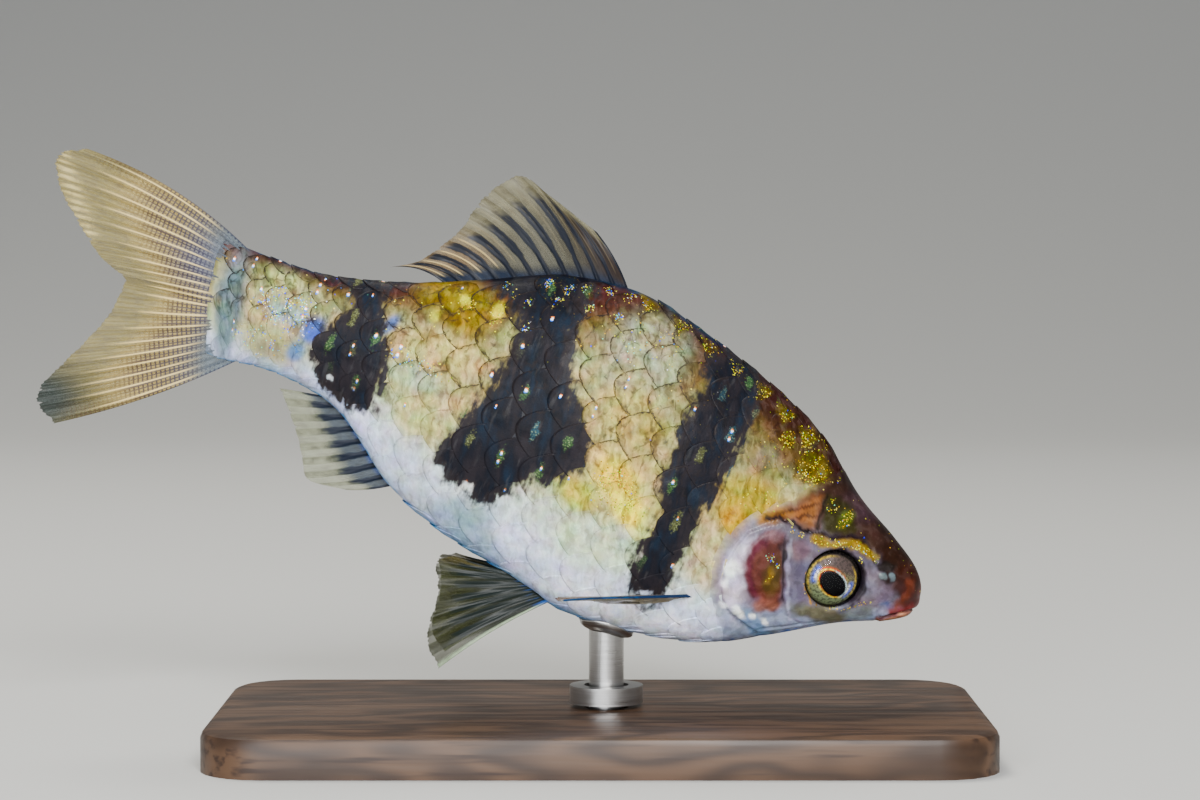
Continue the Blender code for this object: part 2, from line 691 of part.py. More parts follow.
MATERIALS = {
    "skin": ((0.62, 0.60, 0.50), 0.35, 0.0),
    "gill_cover": ((0.70, 0.64, 0.66), 0.25, 0.1),
    "eye": ((0.03, 0.03, 0.03), 0.05, 0.0),
    "fin": ((0.55, 0.50, 0.38), 0.35, 0.0),
    "base_wood": ((0.10, 0.06, 0.04), 0.35, 0.0),
    "steel": ((0.60, 0.60, 0.60), 0.25, 1.0),
}


def material(name):
    colour, roughness, metallic = MATERIALS[name]
    made = bpy.data.materials.get(name) or bpy.data.materials.new(name)
    made.use_nodes = True
    shader = made.node_tree.nodes["Principled BSDF"]
    shader.inputs["Base Color"].default_value = (*colour, 1)
    shader.inputs["Roughness"].default_value = roughness
    shader.inputs["Metallic"].default_value = metallic
    return made


def finish_of(name):
    for start, finish in (
        ("stand_base", "base_wood"),
        ("stand", "steel"),
        ("eye", "eye"),
        ("gill_cover", "gill_cover"),
    ):
        if name.startswith(start):
            return finish
    return "fin" if "fin" in name else "skin"


def main():
    clear_scene()
    nose_down = bpy.data.objects.new("nose_down", None)
    bpy.data.collections[FISH_PARTS].objects.link(nose_down)
    nose_down.location = (SNOUT_X * MM, 0, SNOUT_Z * MM)
    nose_down.rotation_euler = (0, math.radians(NOSE_DOWN), 0)
    make_head()
    make_gill_covers()
    boolean(body_solid("torso"), torso_region(), "INTERSECT")
    boolean(body_solid("tail_stalk"), tail_region(), "INTERSECT")
    for name, side in (("eye_left", 1), ("eye_right", -1)):
        eyeball(name, side)
    make_dorsal_fin()
    make_anal_fin()
    make_tail_fin()
    make_pelvic_fins()
    make_pectoral_fins()
    make_stand()
    for obj in bpy.data.collections[FISH_PARTS].objects:
        if obj.type != "MESH":
            continue
        obj.data.materials.clear()
        obj.data.materials.append(material(finish_of(obj.name)))
        obj.data.shade_smooth()
        obj.data.set_sharp_from_angle(angle=math.radians(40))


main()
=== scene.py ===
"""Looks of the black ruby barb: a life-size painted cast of one fish, nose down over its display stand."""

import math

import bmesh
import bpy
import numpy as np
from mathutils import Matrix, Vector


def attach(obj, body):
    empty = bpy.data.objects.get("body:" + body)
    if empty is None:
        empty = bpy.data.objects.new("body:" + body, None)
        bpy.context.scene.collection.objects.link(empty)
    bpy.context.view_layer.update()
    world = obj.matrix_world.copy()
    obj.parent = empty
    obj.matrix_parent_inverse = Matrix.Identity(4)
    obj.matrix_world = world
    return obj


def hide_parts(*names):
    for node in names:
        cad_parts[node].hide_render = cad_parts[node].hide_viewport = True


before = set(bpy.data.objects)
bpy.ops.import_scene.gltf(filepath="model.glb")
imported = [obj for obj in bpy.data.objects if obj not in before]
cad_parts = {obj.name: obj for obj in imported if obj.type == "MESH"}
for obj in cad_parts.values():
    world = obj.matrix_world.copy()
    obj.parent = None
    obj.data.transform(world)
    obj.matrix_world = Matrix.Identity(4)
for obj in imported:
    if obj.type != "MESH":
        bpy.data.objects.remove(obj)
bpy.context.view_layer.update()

# The view
# The fish is seen square on from its right side, from just above its own height, through a long lens.
AIM = Vector((0.0, 0.0, 0.02175))
VIEW_DISTANCE = 0.208
VIEW_RISE = math.radians(3)

view_lens = bpy.data.cameras.new("photo_view")
view_lens.lens = 100
view_lens.sensor_width = 36
view_lens.clip_start = 0.01
camera = bpy.data.objects.new("photo_view", view_lens)
bpy.context.collection.objects.link(camera)
camera.location = AIM + VIEW_DISTANCE * Vector((0, -math.cos(VIEW_RISE), math.sin(VIEW_RISE)))
camera.rotation_euler = (math.pi / 2 - VIEW_RISE, 0, 0)
bpy.context.scene.camera = camera

# Body cast
# One skin from lips to tail stalk, cast in resin over the fish's own form. Lengths are millimetres in its
# frame: the snout tip is the origin, x runs back as minus, z is up and the right flank is at minus y.
MM = 0.001
NOSE_DOWN = math.radians(22)
SNOUT_X = 20.2
SNOUT_Z = 9.85
BODY_LENGTH = 47.6
BACK = [(0, -0.6), (0.9, 1.1), (3.0, 2.45), (6.2, 4.2), (9.3, 6.6), (13.7, 8.5), (18.5, 9.85),
        (23.8, 10.75), (28.5, 9.85), (33.0, 7.7), (38.0, 5.5), (42.5, 4.3), (47.6, 4.15)]
BELLY = [(0, -0.6), (0.5, -1.95), (1.6, -2.65), (4.6, -4.1), (8.0, -6.25), (11.5, -8.2), (16.0, -9.3),
         (20.6, -9.7), (25.0, -8.75), (30.0, -7.75), (33.0, -6.7), (38.9, -3.05), (42.0, -2.6), (47.6, -3.15)]
HALF_WIDTH = [(0, 0), (0.5, 1.15), (1.6, 1.9), (3.2, 2.5), (5.7, 3.1), (8.5, 3.7), (12.0, 4.3), (16.0, 4.75),
              (20.5, 4.85), (26.0, 4.4), (32.0, 3.35), (38.0, 2.1), (42.5, 1.4), (47.6, 0.85)]
BACK_RIDGE = [(0, 0.9), (6.0, 0.85), (14.0, 1.1), (24.0, 1.25), (36.0, 1.1), (47.6, 1.0)]
BELLY_FULLNESS = 0.85
WAIST_SHARE = 0.44


def smooth(points, x):
    """A smooth curve through (distance, value) points; distances count by their square root, for a blunt
    nose."""
    distances, values = np.array(points, float).T
    knots = np.sqrt(distances)
    at = np.sqrt(np.clip(x, distances[0], distances[-1]))
    steps = np.diff(knots)
    rises = np.diff(values) / steps
    inner = (steps[1:] * rises[:-1] + steps[:-1] * rises[1:]) / (steps[:-1] + steps[1:])
    slopes = np.concatenate((rises[:1], inner, rises[-1:]))
    low = np.clip(np.searchsorted(knots, at, side="right") - 1, 0, len(steps) - 1)
    span = steps[low]
    s = (at - knots[low]) / span
    start = values[low] * (1 + 2 * s) * (1 - s) ** 2 + slopes[low] * span * s * (1 - s) ** 2
    return start + values[low + 1] * s * s * (3 - 2 * s) + slopes[low + 1] * span * s * s * (s - 1)


def line(points, count):
    """Points evenly along a smooth line through a few given ones."""
    points = np.array(points, float)
    last = len(points) - 1
    at = np.linspace(0, last, count)
    k = np.minimum(at.astype(int), last - 1)
    s = (at - k)[:, None]
    a, b, c, d = (points[np.clip(k + step, 0, last)] for step in (-1, 0, 1, 2))
    return 0.5 * (2 * b + (c - a) * s + (2 * a - 5 * b + 4 * c - d) * s**2 + (3 * b - a - 3 * c + d) * s**3)


def body(x, angle):
    """Points of the bare body, x behind the snout. Angle 0 is the back, pi the belly, and more the other
    side."""
    x, angle = np.broadcast_arrays(x, angle)
    top, bottom = smooth(BACK, x), smooth(BELLY, x)
    waist = bottom + WAIST_SHARE * (top - bottom)
    rise, out = np.cos(angle), np.sin(angle)
    reach = np.where(rise > 0, top - waist, waist - bottom)
    power = np.where(rise > 0, smooth(BACK_RIDGE, x), BELLY_FULLNESS)
    half = smooth(HALF_WIDTH, x) * np.abs(out) ** power
    return np.stack((-x, np.copysign(half, out), waist + reach * rise), axis=-1)


def unit(vectors):
    return vectors / np.maximum(np.linalg.norm(vectors, axis=-1, keepdims=True), 1e-9)


def body_normal(x, angle):
    step = 0.02
    forward = body(x - step, angle) - body(x + step, angle)
    around = body(x, angle + step) - body(x, angle - step)
    return unit(np.cross(forward, around))


def flank_angle(x, z):
    """The angle at which the left flank, x behind the snout, is at height z."""
    top, bottom = smooth(BACK, x), smooth(BELLY, x)
    waist = bottom + WAIST_SHARE * (top - bottom)
    reach = np.where(z > waist, top - waist, waist - bottom)
    return np.arccos(np.clip((z - waist) / reach, -1, 1))


def fade(value, low, high):
    """A soft step from 0 at low to 1 at high."""
    s = np.clip((value - low) / (high - low), 0, 1)
    return s * s * (3 - 2 * s)


def hump(value, at, width):
    """1 at a value, falling off like a bell to both sides."""
    return np.exp(-(((value - at) / width) ** 2))


def near_line(x, z, points):
    """How far each place is from a line of the side view."""
    best = np.full(np.shape(x), 99.0)
    for (x0, z0), (x1, z1) in zip(points, points[1:]):
        dx, dz = x1 - x0, z1 - z0
        share = np.clip(((x - x0) * dx + (z - z0) * dz) / (dx * dx + dz * dz), 0, 1)
        best = np.minimum(best, np.hypot(x - x0 - share * dx, z - z0 - share * dz))
    return best


def inside(x, z, outline):
    """How far each place is inside an outline of the side view; minus is outside."""
    closed = [*outline, outline[0]]
    within = np.zeros(np.shape(x), bool)
    for (x0, z0), (x1, z1) in zip(closed, closed[1:]):
        if z0 != z1:
            within ^= ((z0 > z) != (z1 > z)) & (x < (x1 - x0) * (z - z0) / (z1 - z0) + x0)
    return np.where(within, 1, -1) * near_line(x, z, closed)


def spot(x, z, centre, radii, turn=0.0):
    """1 at the centre of an oval spot, fading to 0 at its edge."""
    along = math.cos(math.radians(turn)), math.sin(math.radians(turn))
    dx, dz = x - centre[0], z - centre[1]
    u = (dx * along[0] + dz * along[1]) / radii[0]
    v = (dz * along[0] - dx * along[1]) / radii[1]
    return 1 - fade(np.hypot(u, v), 0.0, 1.0)


def dab(x, z, centre, radii, turn=0.0, soft=0.7):
    """An oval spot with a full middle; soft is the share of it that fades."""
    return fade(spot(x, z, centre, radii, turn), 0.0, soft)


def stroke(x, z, points, width):
    """1 on a line of the side view, fading to 0 at half its width away."""
    return 1 - fade(near_line(x, z, points), 0.0, width / 2)


def patch(x, z, outline, soft):
    """1 inside an outline of the side view, fading out across its edge."""
    return fade(inside(x, z, outline), -soft, soft)


def to_frame(points):
    """From the fish's own frame to the part's frame, in metres."""
    c, s = math.cos(NOSE_DOWN), math.sin(NOSE_DOWN)
    x, y, z = points[..., 0], points[..., 1], points[..., 2]
    return np.stack((SNOUT_X + x * c + z * s, y, SNOUT_Z - x * s + z * c), axis=-1) * MM


def lattice(rows, columns, closed=False):
    """Faces between rows of points; a closed one joins the end of each row to its beginning."""
    return [tuple(r * columns + c % columns for r, c in ((i, k), (i, k + 1), (i + 1, k + 1), (i + 1, k)))
            for i in range(rows - 1) for k in range(columns if closed else columns - 1)]


def turned_over(faces):
    return [(face[0], *face[:0:-1]) for face in faces]


def new_piece(name, points, faces, facts=None, flat_map=None):
    """A mesh piece from points in the part's frame. Facts are values kept at each point for its material
    to read."""
    mesh = bpy.data.meshes.new(name)
    mesh.from_pydata(points.reshape(-1, 3).tolist(), [], faces)
    count = len(mesh.vertices)
    for fact, values in (facts or {}).items():
        values = np.asarray(values, np.float32)
        kind, key = ("FLOAT", "value") if values.size == count else ("FLOAT_VECTOR", "vector")
        if fact.startswith("paint"):
            kind, key = "FLOAT_COLOR", "color"
            values = np.concatenate((values.reshape(-1, 3), np.ones((count, 1), np.float32)), axis=1)
        mesh.attributes.new(fact, kind, "POINT").data.foreach_set(key, values.ravel())
    if flat_map is not None:
        mesh.uv_layers.new(name="OFBake").data.foreach_set("uv", np.asarray(flat_map, np.float32).ravel())
    mesh.shade_smooth()
    piece = bpy.data.objects.new(name, mesh)
    bpy.context.collection.objects.link(piece)
    return piece


EYE_X = -5.65
EYE_Z = -1.3
EYE_SUNK = 0.7
ORBIT_RADIUS = 1.9
ORBIT_DEPTH = 1.35
BROW = [(-8.3, 0.95), (-7.4, 1.0), (-6.5, 1.25), (-5.8, 1.6), (-5.0, 1.65), (-4.2, 1.3), (-3.7, 0.7)]
NAPE_GROOVE = [(-11.2, 0.75), (-10.3, 1.1), (-9.3, 1.0), (-8.3, 0.95)]
NOSTRILS = [(-2.95, -0.02), (-2.42, 0.12)]
MOUTH = [(0.4, -0.95), (0.1, -1.1), (-0.7, -1.6), (-1.4, -2.03), (-1.95, -2.45)]
UPPER_LIP = [(0.2, -0.75), (-0.55, -1.3), (-1.25, -1.75), (-1.85, -2.2)]
LOWER_LIP = [(0.1, -1.45), (-0.8, -1.95), (-1.4, -2.35), (-1.9, -2.65)]
RED_LIP = [(-0.3, 0.5), (0.1, -0.4), (-0.2, -1.0), (-0.8, -1.45), (-1.5, -1.95)]
ORANGE_LIP = [(-1.1, 0.3), (-0.9, -0.5), (-1.1, -1.1), (-1.7, -1.75)]
JAW_FOLD = [(-2.05, -2.75), (-2.25, -2.2), (-2.1, -1.7), (-1.7, -1.3)]
CHEEK_EDGE = [(-9.55, 0.1), (-9.3, -0.7), (-8.95, -1.75), (-8.55, -2.65), (-8.2, -3.6), (-7.6, -4.5),
              (-6.4, -4.7)]
GILL_EDGE = [(-9.9, 1.0), (-10.9, 0.4), (-11.8, -0.4), (-12.15, -1.5), (-12.3, -2.7), (-12.15, -3.9),
             (-11.7, -4.9), (-10.9, -5.5), (-9.7, -5.9), (-8.6, -6.2)]
GILL_PLATE = [(-9.6, 0.2), (-10.3, 0.1), (-10.9, -0.3), (-11.3, -1.1), (-11.4, -2.1), (-11.1, -3.1),
              (-10.3, -3.95), (-9.3, -4.3), (-8.4, -4.5), (-8.3, -3.4), (-8.9, -1.8), (-9.3, -0.6)]
GILL_COVER = [*GILL_EDGE, (-7.0, -5.2), (-6.4, -3.4), (-7.4, -1.4), (-8.6, 0.4)]
THROAT_FOLDS = [2.62, 2.8, 2.96]
COAT_START = [(-9.0, -9.8), (-7.0, -10.4), (-6.2, -11.1), (-5.0, -12.0), (-3.9, -12.55), (-2.6, -12.7),
              (-1.2, -12.5), (0.2, -11.9), (1.1, -10.9), (2.2, -10.0), (3.3, -9.0), (4.4, -7.9),
              (5.3, -7.3)]
COAT_DEPTH = 0.13


def coat_share(x, z):
    """0 on the bare head, 1 where the scales lie."""
    heights, fronts = np.array(COAT_START).T
    return fade(np.interp(z, heights, fronts) - x, -0.3, 1.0)


def eye_axis():
    """The right eye's centre and the way it looks, and its own right and up."""
    angle = flank_angle(-EYE_X, EYE_Z)
    out = body_normal(-EYE_X, angle)
    centre = body(-EYE_X, angle) - out * EYE_SUNK
    out[1], centre[1] = -out[1], -centre[1]
    ahead = unit(np.array((1.0, 0.0, 0.0)) - out * out[0])
    return centre, out, ahead, np.cross(out, ahead)


# What stands out of the head or lies below it, in millimetres: (height, centre, radii, turn), (height,
# line, width)
HEAD_SWELLS = [(0.12, (-5.8, 1.0), (2.4, 0.8), 8), (-0.07, (-2.85, 0.6), (0.5, 0.35), 20),
               (0.05, (-8.2, -2.4), (1.4, 2.4), 15), (0.05, (-10.0, -1.9), (1.3, 2.0), 0)]
HEAD_FOLDS = [(-0.14, BROW, 0.5), (-0.09, NAPE_GROOVE, 0.4), (0.1, UPPER_LIP, 0.9), (0.1, LOWER_LIP, 0.6),
              (-0.24, MOUTH, 0.24), (-0.04, JAW_FOLD, 0.5), (-0.06, CHEEK_EDGE, 0.3)]


def head_relief(points):
    """How far the head's features stand out of, or lie below, the plain form."""
    x, y, z = points[..., 0], -np.abs(points[..., 1]), points[..., 2]
    centre, out, _, _ = eye_axis()
    away = np.stack((x, y, z), axis=-1) - centre
    from_axis = np.linalg.norm(away - (away @ out)[..., None] * out, axis=-1)
    relief = -ORBIT_DEPTH * (1 - fade(from_axis, ORBIT_RADIUS - 0.16, ORBIT_RADIUS + 0.02))
    relief += 0.05 * hump(from_axis, ORBIT_RADIUS + 0.2, 0.2)
    for height, centre, radii, turn in HEAD_SWELLS:
        relief += height * spot(x, z, centre, radii, turn)
    for height, points, width in HEAD_FOLDS:
        relief += height * stroke(x, z, points, width)
    for hole_x, hole_z in NOSTRILS:
        relief += 0.16 * hump(np.hypot(x - hole_x, z - hole_z), 0.0, 0.3)
    cover = inside(x, z, GILL_COVER)
    relief += 0.13 * fade(-x, 8.0, 10.8) * fade(cover, -0.05, 0.05)
    relief -= 0.1 * np.where(cover < 0, hump(near_line(x, z, GILL_EDGE), 0.0, 0.3), 0)
    relief += 0.06 * fade(inside(x, z, GILL_PLATE), -0.06, 0.12)
    throat = fade(-x, 4.6, 6.0) * (1 - fade(-x, 8.4, 9.4))
    for fold in THROAT_FOLDS:
        relief -= 0.07 * hump(flank_angle(-x, z), fold, 0.03) * throat
    return relief


SKIN_SIDES = 260
HEAD_STATIONS = 270
BACK_STATIONS = 96
HEAD_REACH = 13.6
TAIL_JOIN = 44.0
SKIN_END = 49.0
FIN_OVERLAP = 1.5
TAIL_END = [(-47.0, 5.0), (-47.2, 3.0), (-46.8, 0.5), (-45.9, -2.0), (-45.3, -4.0)]


def drawn_to_tail(points, x):
    """Draws the end of the stalk out along the roots of the tail fin, and thins it onto them."""
    ends, heights = np.array(TAIL_END).T
    stop = FIN_OVERLAP - np.interp(points[..., 2], heights[::-1], ends[::-1])
    past = np.maximum(x - TAIL_JOIN, 0)
    drawn = TAIL_JOIN + past * (stop - TAIL_JOIN) / (SKIN_END - TAIL_JOIN)
    points[..., 0] = np.where(x > TAIL_JOIN, -drawn, -x)
    points[..., 1] *= 1 - 0.84 * fade(x, TAIL_JOIN + 1.6, SKIN_END)
    return points


LAMP_LIFT = 0.72
FULLNESS = 1.5


def colour(code):
    """A paint from the screen code it should look like: mixed darker and fuller than that, as the lamps
    lift it."""
    screen = np.array([int(code[k : k + 2], 16) / 255 for k in (0, 2, 4)])
    light = np.where(screen <= 0.04045, screen / 12.92, ((screen + 0.055) / 1.055) ** 2.4)
    return np.maximum(LAMP_LIFT * (light.mean() + FULLNESS * (light - light.mean())), 0.0003)


def lay(under, over, amount):
    """Paint laid over paint, each a screen code or mixed colours."""
    under, over = (colour(paint) if isinstance(paint, str) else paint for paint in (under, over))
    amount = np.clip(np.asarray(amount)[..., None], 0, 1)
    return under * (1 - amount) + over * amount


# Paints of the flank from the belly line to the back ridge: (share of the depth, paint)
FLANK_PAINTS = [(0.0, "4a7cb0"), (0.006, "7ea4cc"), (0.018, "c3cce4"), (0.12, "dee4f6"), (0.22, "d2dad6"),
                (0.33, "c2c8a4"), (0.46, "b8ac84"), (0.6, "b0a47c"), (0.74, "a2a07c"), (0.85, "6e5e42"),
                (0.92, "4a302a"), (0.985, "3c2628"), (1.0, "1c3044")]
# Patches of colour on the flanks: (paint, strength, centre, radii, turn)
FLANK_SPOTS = [
    ("54442e", 0.95, (-11.6, 5.6), (3.0, 3.8), -30),
    ("8a7c64", 0.85, (-12.6, 3.9), (2.2, 1.8), 40),
    ("a0904c", 0.95, (-12.3, 1.3), (3.9, 2.7), 0),
    ("bc9844", 0.95, (-12.7, -0.3), (2.2, 1.4), -20),
    ("cdb896", 0.9, (-13.4, -3.2), (2.4, 2.4), 0),
    ("aeb096", 0.9, (-21.6, 7.6), (4.2, 3.6), 0),
    ("b4a672", 0.85, (-21.2, 3.6), (3.6, 2.6), 0),
    ("8a7a4c", 0.75, (-19.4, 3.2), (1.6, 1.6), 0),
    ("ecd000", 1.0, (-20.5, -0.5), (2.8, 2.0), -35),
    ("fff020", 1.0, (-19.2, -1.9), (2.0, 1.5), -30),
    ("bcb668", 0.9, (-22.4, -2.2), (2.6, 1.5), -20),
    ("ccdac0", 0.9, (-20.6, -4.8), (4.6, 2.4), 0),
    ("f4f6ff", 0.9, (-17.0, -8.0), (9.5, 2.0), 0),
    ("7e6c00", 1.0, (-33.6, 5.8), (4.8, 3.0), -20),
    ("e6dc10", 0.95, (-33.2, 6.15), (0.8, 0.5), -30),
    ("e6dc10", 0.95, (-31.1, 6.3), (0.6, 1.0), 0),
    ("dcd020", 0.8, (-34.6, 4.6), (0.45, 0.7), 0),
    ("cdbe8c", 0.9, (-33.4, 2.9), (4.4, 1.9), 0),
    ("aebea0", 0.85, (-34.6, 0.6), (3.4, 1.2), 0),
    ("bcb688", 0.85, (-33.0, -1.8), (3.4, 1.9), -20),
    ("c4cad4", 0.9, (-32.4, -5.0), (4.4, 2.2), -35),
    ("8fa2b0", 0.85, (-28.0, -7.0), (4.4, 1.6), -15),
    ("7f9698", 0.8, (-28.2, -5.8), (2.6, 1.4), 0),
    ("b2b68c", 0.9, (-43.8, 2.8), (4.0, 1.6), 0),
    ("9e9a78", 0.9, (-43.6, -1.0), (4.0, 2.0), 0),
    ("9cb2b6", 0.85, (-43.2, 1.2), (2.4, 1.0), 0),
    ("2a62b4", 1.0, (-41.3, 0.9), (1.1, 1.6), -20),
    ("4a78b8", 0.85, (-41.8, -0.8), (0.9, 1.1), -20),
    ("3a66a4", 0.9, (-37.0, 3.0), (0.6, 1.3), -25),
    ("66767a", 0.95, (-47.4, 0.2), (2.0, 5.6), 0),
]
RIDGE_SHAPE = [(-0.78, 0.48), (0.7, 0.1), (0.0, -0.72)]
RIDGE_PATCHES = [(-22.6, 10.3), (-20.3, 9.75), (-18.1, 9.15), (-16.1, 8.65), (-14.1, 7.95), (-12.2, 7.15),
                 (-10.4, 6.3)]
NAPE_PATCH = [(-10.4, 5.2), (-9.8, 5.6), (-9.1, 5.5), (-8.4, 4.8), (-8.6, 4.1), (-9.4, 3.9), (-10.2, 4.0),
              (-10.6, 4.5)]
NAPE_STREAK = [(-10.4, 3.7), (-8.9, 3.95), (-7.7, 4.5)]
NAPE_LINES = [[(-12.55, 6.35), (-12.6, 5.4), (-11.9, 4.85)], [(-12.55, 6.35), (-10.9, 6.7), (-10.3, 5.6)],
              [(-10.4, 5.55), (-10.4, 4.65), (-10.4, 3.8)],
              [(-8.9, 5.5), (-8.3, 4.6), (-8.8, 4.0), (-9.8, 3.6)]]
NAPE_CORNERS = [((-11.6, 5.6), (0.75, 0.95)), ((-10.25, 6.35), (0.5, 0.85)), ((-12.5, 7.2), (0.6, 0.5))]
BAR_ONE = [(-18.3, 8.3), (-16.9, 9.6), (-15.0, 9.6), (-14.2, 7.2), (-14.1, 4.5), (-14.3, 1.8),
           (-14.8, -1.1), (-14.9, -4.6), (-15.5, -6.6), (-16.5, -7.1), (-17.6, -6.0), (-17.9, -4.0),
           (-17.6, -1.6), (-18.0, 1.4), (-18.2, 3.4), (-17.8, 6.4)]
BAR_TWO = [(-34.0, 8.4), (-26.5, 11.5), (-26.3, 8.4), (-25.8, 5.4), (-24.4, 3.0), (-22.9, 1.2),
           (-22.8, -0.6), (-23.9, -2.1), (-25.3, -2.5), (-26.3, -4.2), (-27.6, -5.2), (-29.6, -4.6),
           (-31.2, -4.0), (-31.5, -2.2), (-30.4, 0.2), (-29.8, 3.0), (-29.5, 5.4), (-30.8, 7.1)]
BAR_THREE = [(-42.5, 4.7), (-37.2, 6.6), (-37.9, 4.8), (-37.4, 3.2), (-36.5, 1.6), (-36.0, -0.6),
             (-36.1, -2.4), (-37.5, -2.9), (-39.6, -2.2), (-40.9, -0.9), (-41.0, 0.5), (-40.4, 2.0),
             (-39.8, 3.6)]


def bars(x, z):
    """How far each place lies inside the nearest black bar."""
    return np.maximum.reduce([inside(x, z, line([*bar, bar[0]], 3 * len(bar))[:-1].tolist())
                              for bar in (BAR_ONE, BAR_TWO, BAR_THREE)])


def ridge_gold(x, z):
    """1 on the gold corners of the scales along the nape and the front of the back."""
    gold = np.maximum(patch(x, z, NAPE_PATCH, 0.2), 0.7 * fade(stroke(x, z, NAPE_STREAK, 0.5), 0.0, 0.6))
    for centre, radii in NAPE_CORNERS:
        gold = np.maximum(gold, 0.8 * dab(x, z, centre, radii, soft=0.5))
    for ridge_x, ridge_z in RIDGE_PATCHES:
        gold = np.maximum(gold, patch(x, z, [(ridge_x + dx, ridge_z + dz) for dx, dz in RIDGE_SHAPE], 0.12))
    return gold


def depth_share(x, z):
    """How far up the side each place is: 0 at the belly line, 1 at the back."""
    low, high = smooth(BELLY, -x), smooth(BACK, -x)
    return np.clip((z - low) / np.maximum(high - low, 0.01), 0, 1)


def dabbed(paint, x, z, dabs, soft=0.7):
    for code, amount, centre, radii, turn in dabs:
        paint = lay(paint, code, amount * dab(x, z, centre, radii, turn, soft))
    return paint


def lined(paint, x, z, lines):
    for code, amount, points, width in lines:
        paint = lay(paint, code, amount * stroke(x, z, points, width))
    return paint


def flank_paint(x, z):
    """The ground colour of the flanks, under the bars."""
    share = depth_share(x, z)
    shares = [at for at, _ in FLANK_PAINTS]
    paints = np.array([colour(code) for _, code in FLANK_PAINTS])
    ground = np.stack([np.interp(share, shares, paints[:, k]) for k in range(3)], axis=-1)
    ground = dabbed(ground, x, z, FLANK_SPOTS, 0.75)
    pale = fade(share, 0.34, 0.16) * fade(share, 0.0, 0.05) * fade(x, -41.0, -35.0)
    ground = ground * (1 + 0.3 * pale[..., None])
    ground = lay(ground, "33211e", 0.95 * fade(share, 0.84, 0.93) * fade(x, -17.5, -14.5))
    for outline in NAPE_LINES:
        ground = lay(ground, "33241e", 0.75 * fade(stroke(x, z, outline, 0.34), 0.0, 0.7))
    return lay(ground, "584c10", ridge_gold(x, z))


# Paints of the bare head: (paint, strength, centre, radii, turn)
HEAD_SPOTS = [
    ("58444a", 0.8, (-5.4, 3.7), (4.2, 1.6), 35),
    ("342018", 0.95, (-2.9, 1.5), (2.4, 1.2), 38),
    ("9a929e", 0.9, (-3.55, -0.2), (0.8, 1.9), 12),
    ("75707c", 0.8, (-4.0, 0.5), (1.2, 0.6), 20),
    ("74705c", 0.95, (-5.6, -3.6), (3.2, 0.9), 8),
    ("7a807c", 0.8, (-3.4, -2.6), (1.5, 0.8), 25),
    ("767284", 0.9, (-7.9, -2.2), (1.3, 2.8), 10),
    ("86707a", 0.9, (-8.5, -0.3), (1.3, 1.0), 0),
    ("96703c", 0.9, (-10.8, 1.1), (1.8, 0.9), 30),
    ("a08e60", 0.95, (-10.2, 2.7), (2.2, 0.9), 35),
    ("3e2018", 0.95, (-1.2, 0.2), (2.2, 1.9), 0),
    ("4c2014", 0.9, (-0.6, -0.8), (1.4, 1.0), -30),
    ("8ca2be", 0.85, (-8.8, -6.0), (4.0, 0.9), -30),
]
ORANGE_PATCH = [(-8.5, 3.25), (-7.95, 1.4), (-8.3, 1.15), (-9.3, 1.15), (-10.2, 1.1), (-11.4, 0.4),
                (-11.2, 0.95), (-9.9, 2.05)]
ORANGE_LINES = [[(-8.3, 2.75), (-9.1, 2.2), (-9.9, 1.75)], [(-8.1, 2.0), (-8.8, 1.75), (-9.5, 1.35)],
                [(-9.6, 2.1), (-10.3, 1.5), (-11.0, 0.8)]]
OLIVE_PATCH = [(-8.2, 3.4), (-6.5, 3.5), (-5.5, 2.2), (-5.7, 1.75), (-6.6, 1.4), (-7.6, 1.1)]
EYE_BAND = [(-7.75, 0.62), (-6.8, 0.68), (-5.9, 1.05), (-5.1, 1.24), (-4.4, 1.1), (-3.85, 0.85)]
# Painted highlights: bright white spots on the gill cover's margin: (centre, radii, turn)
MARGIN_HIGHLIGHTS = [((-11.95, -2.95), (0.6, 0.9), 10), ((-11.9, -3.9), (0.4, 0.6), 0),
               ((-10.5, -5.25), (0.9, 0.35), -25), ((-11.5, -5.2), (0.6, 0.35), -10),
               ((-9.6, -5.2), (0.5, 0.3), -20), ((-8.6, -5.35), (0.5, 0.2), -20)]
EYE_SPECKS = [(-7.45, -1.5), (-7.2, -2.4), (-6.5, -3.05), (-5.6, -3.1), (-4.2, -2.8), (-3.7, -2.2),
              (-2.9, -1.8)]


# Marks laid after those: spots in the same form, and thin lines as (paint, strength, line, width)
GILL_SPOTS = [("84686c", 0.9, (-10.4, -0.1), (1.2, 0.6), 20), ("94685c", 0.8, (-9.0, -4.3), (1.4, 0.7), 20),
              ("2c2028", 0.7, (-9.35, -0.35), (0.9, 0.45), 25), ("1c161e", 0.9, (-9.1, -1.1), (0.3, 0.8), 15)]
# Painted shade: dark spots round the nostrils and over the pit above them
NOSTRIL_SHADE = [("1c120e", 0.95, (-2.9, 0.65), (1.0, 0.6), 15),
              ("2c1c18", 0.9, (-2.65, 0.05), (0.85, 0.55), 15)]
BROW_LINES = [("241a14", 0.9, [(-8.05, 3.3), (-8.1, 2.3), (-7.9, 1.3)], 0.35),
              ("20101a", 1.2, [*NAPE_GROOVE[:-1], *BROW], 0.5), ("a88c08", 1.5, EYE_BAND, 0.85),
              ("d8a810", 0.95, EYE_SPECKS[:3], 0.3)]
LIP_LINES = [("743c1c", 0.85, ORANGE_LIP, 0.9), ("701c18", 0.95, RED_LIP, 0.9),
             ("8e6254", 1.1, LOWER_LIP, 0.9),
             ("c89a84", 0.8, [(-0.5, -1.75), (-1.2, -2.15), (-1.7, -2.5)], 0.3),
             ("4a1810", 0.9, MOUTH, 0.2)]


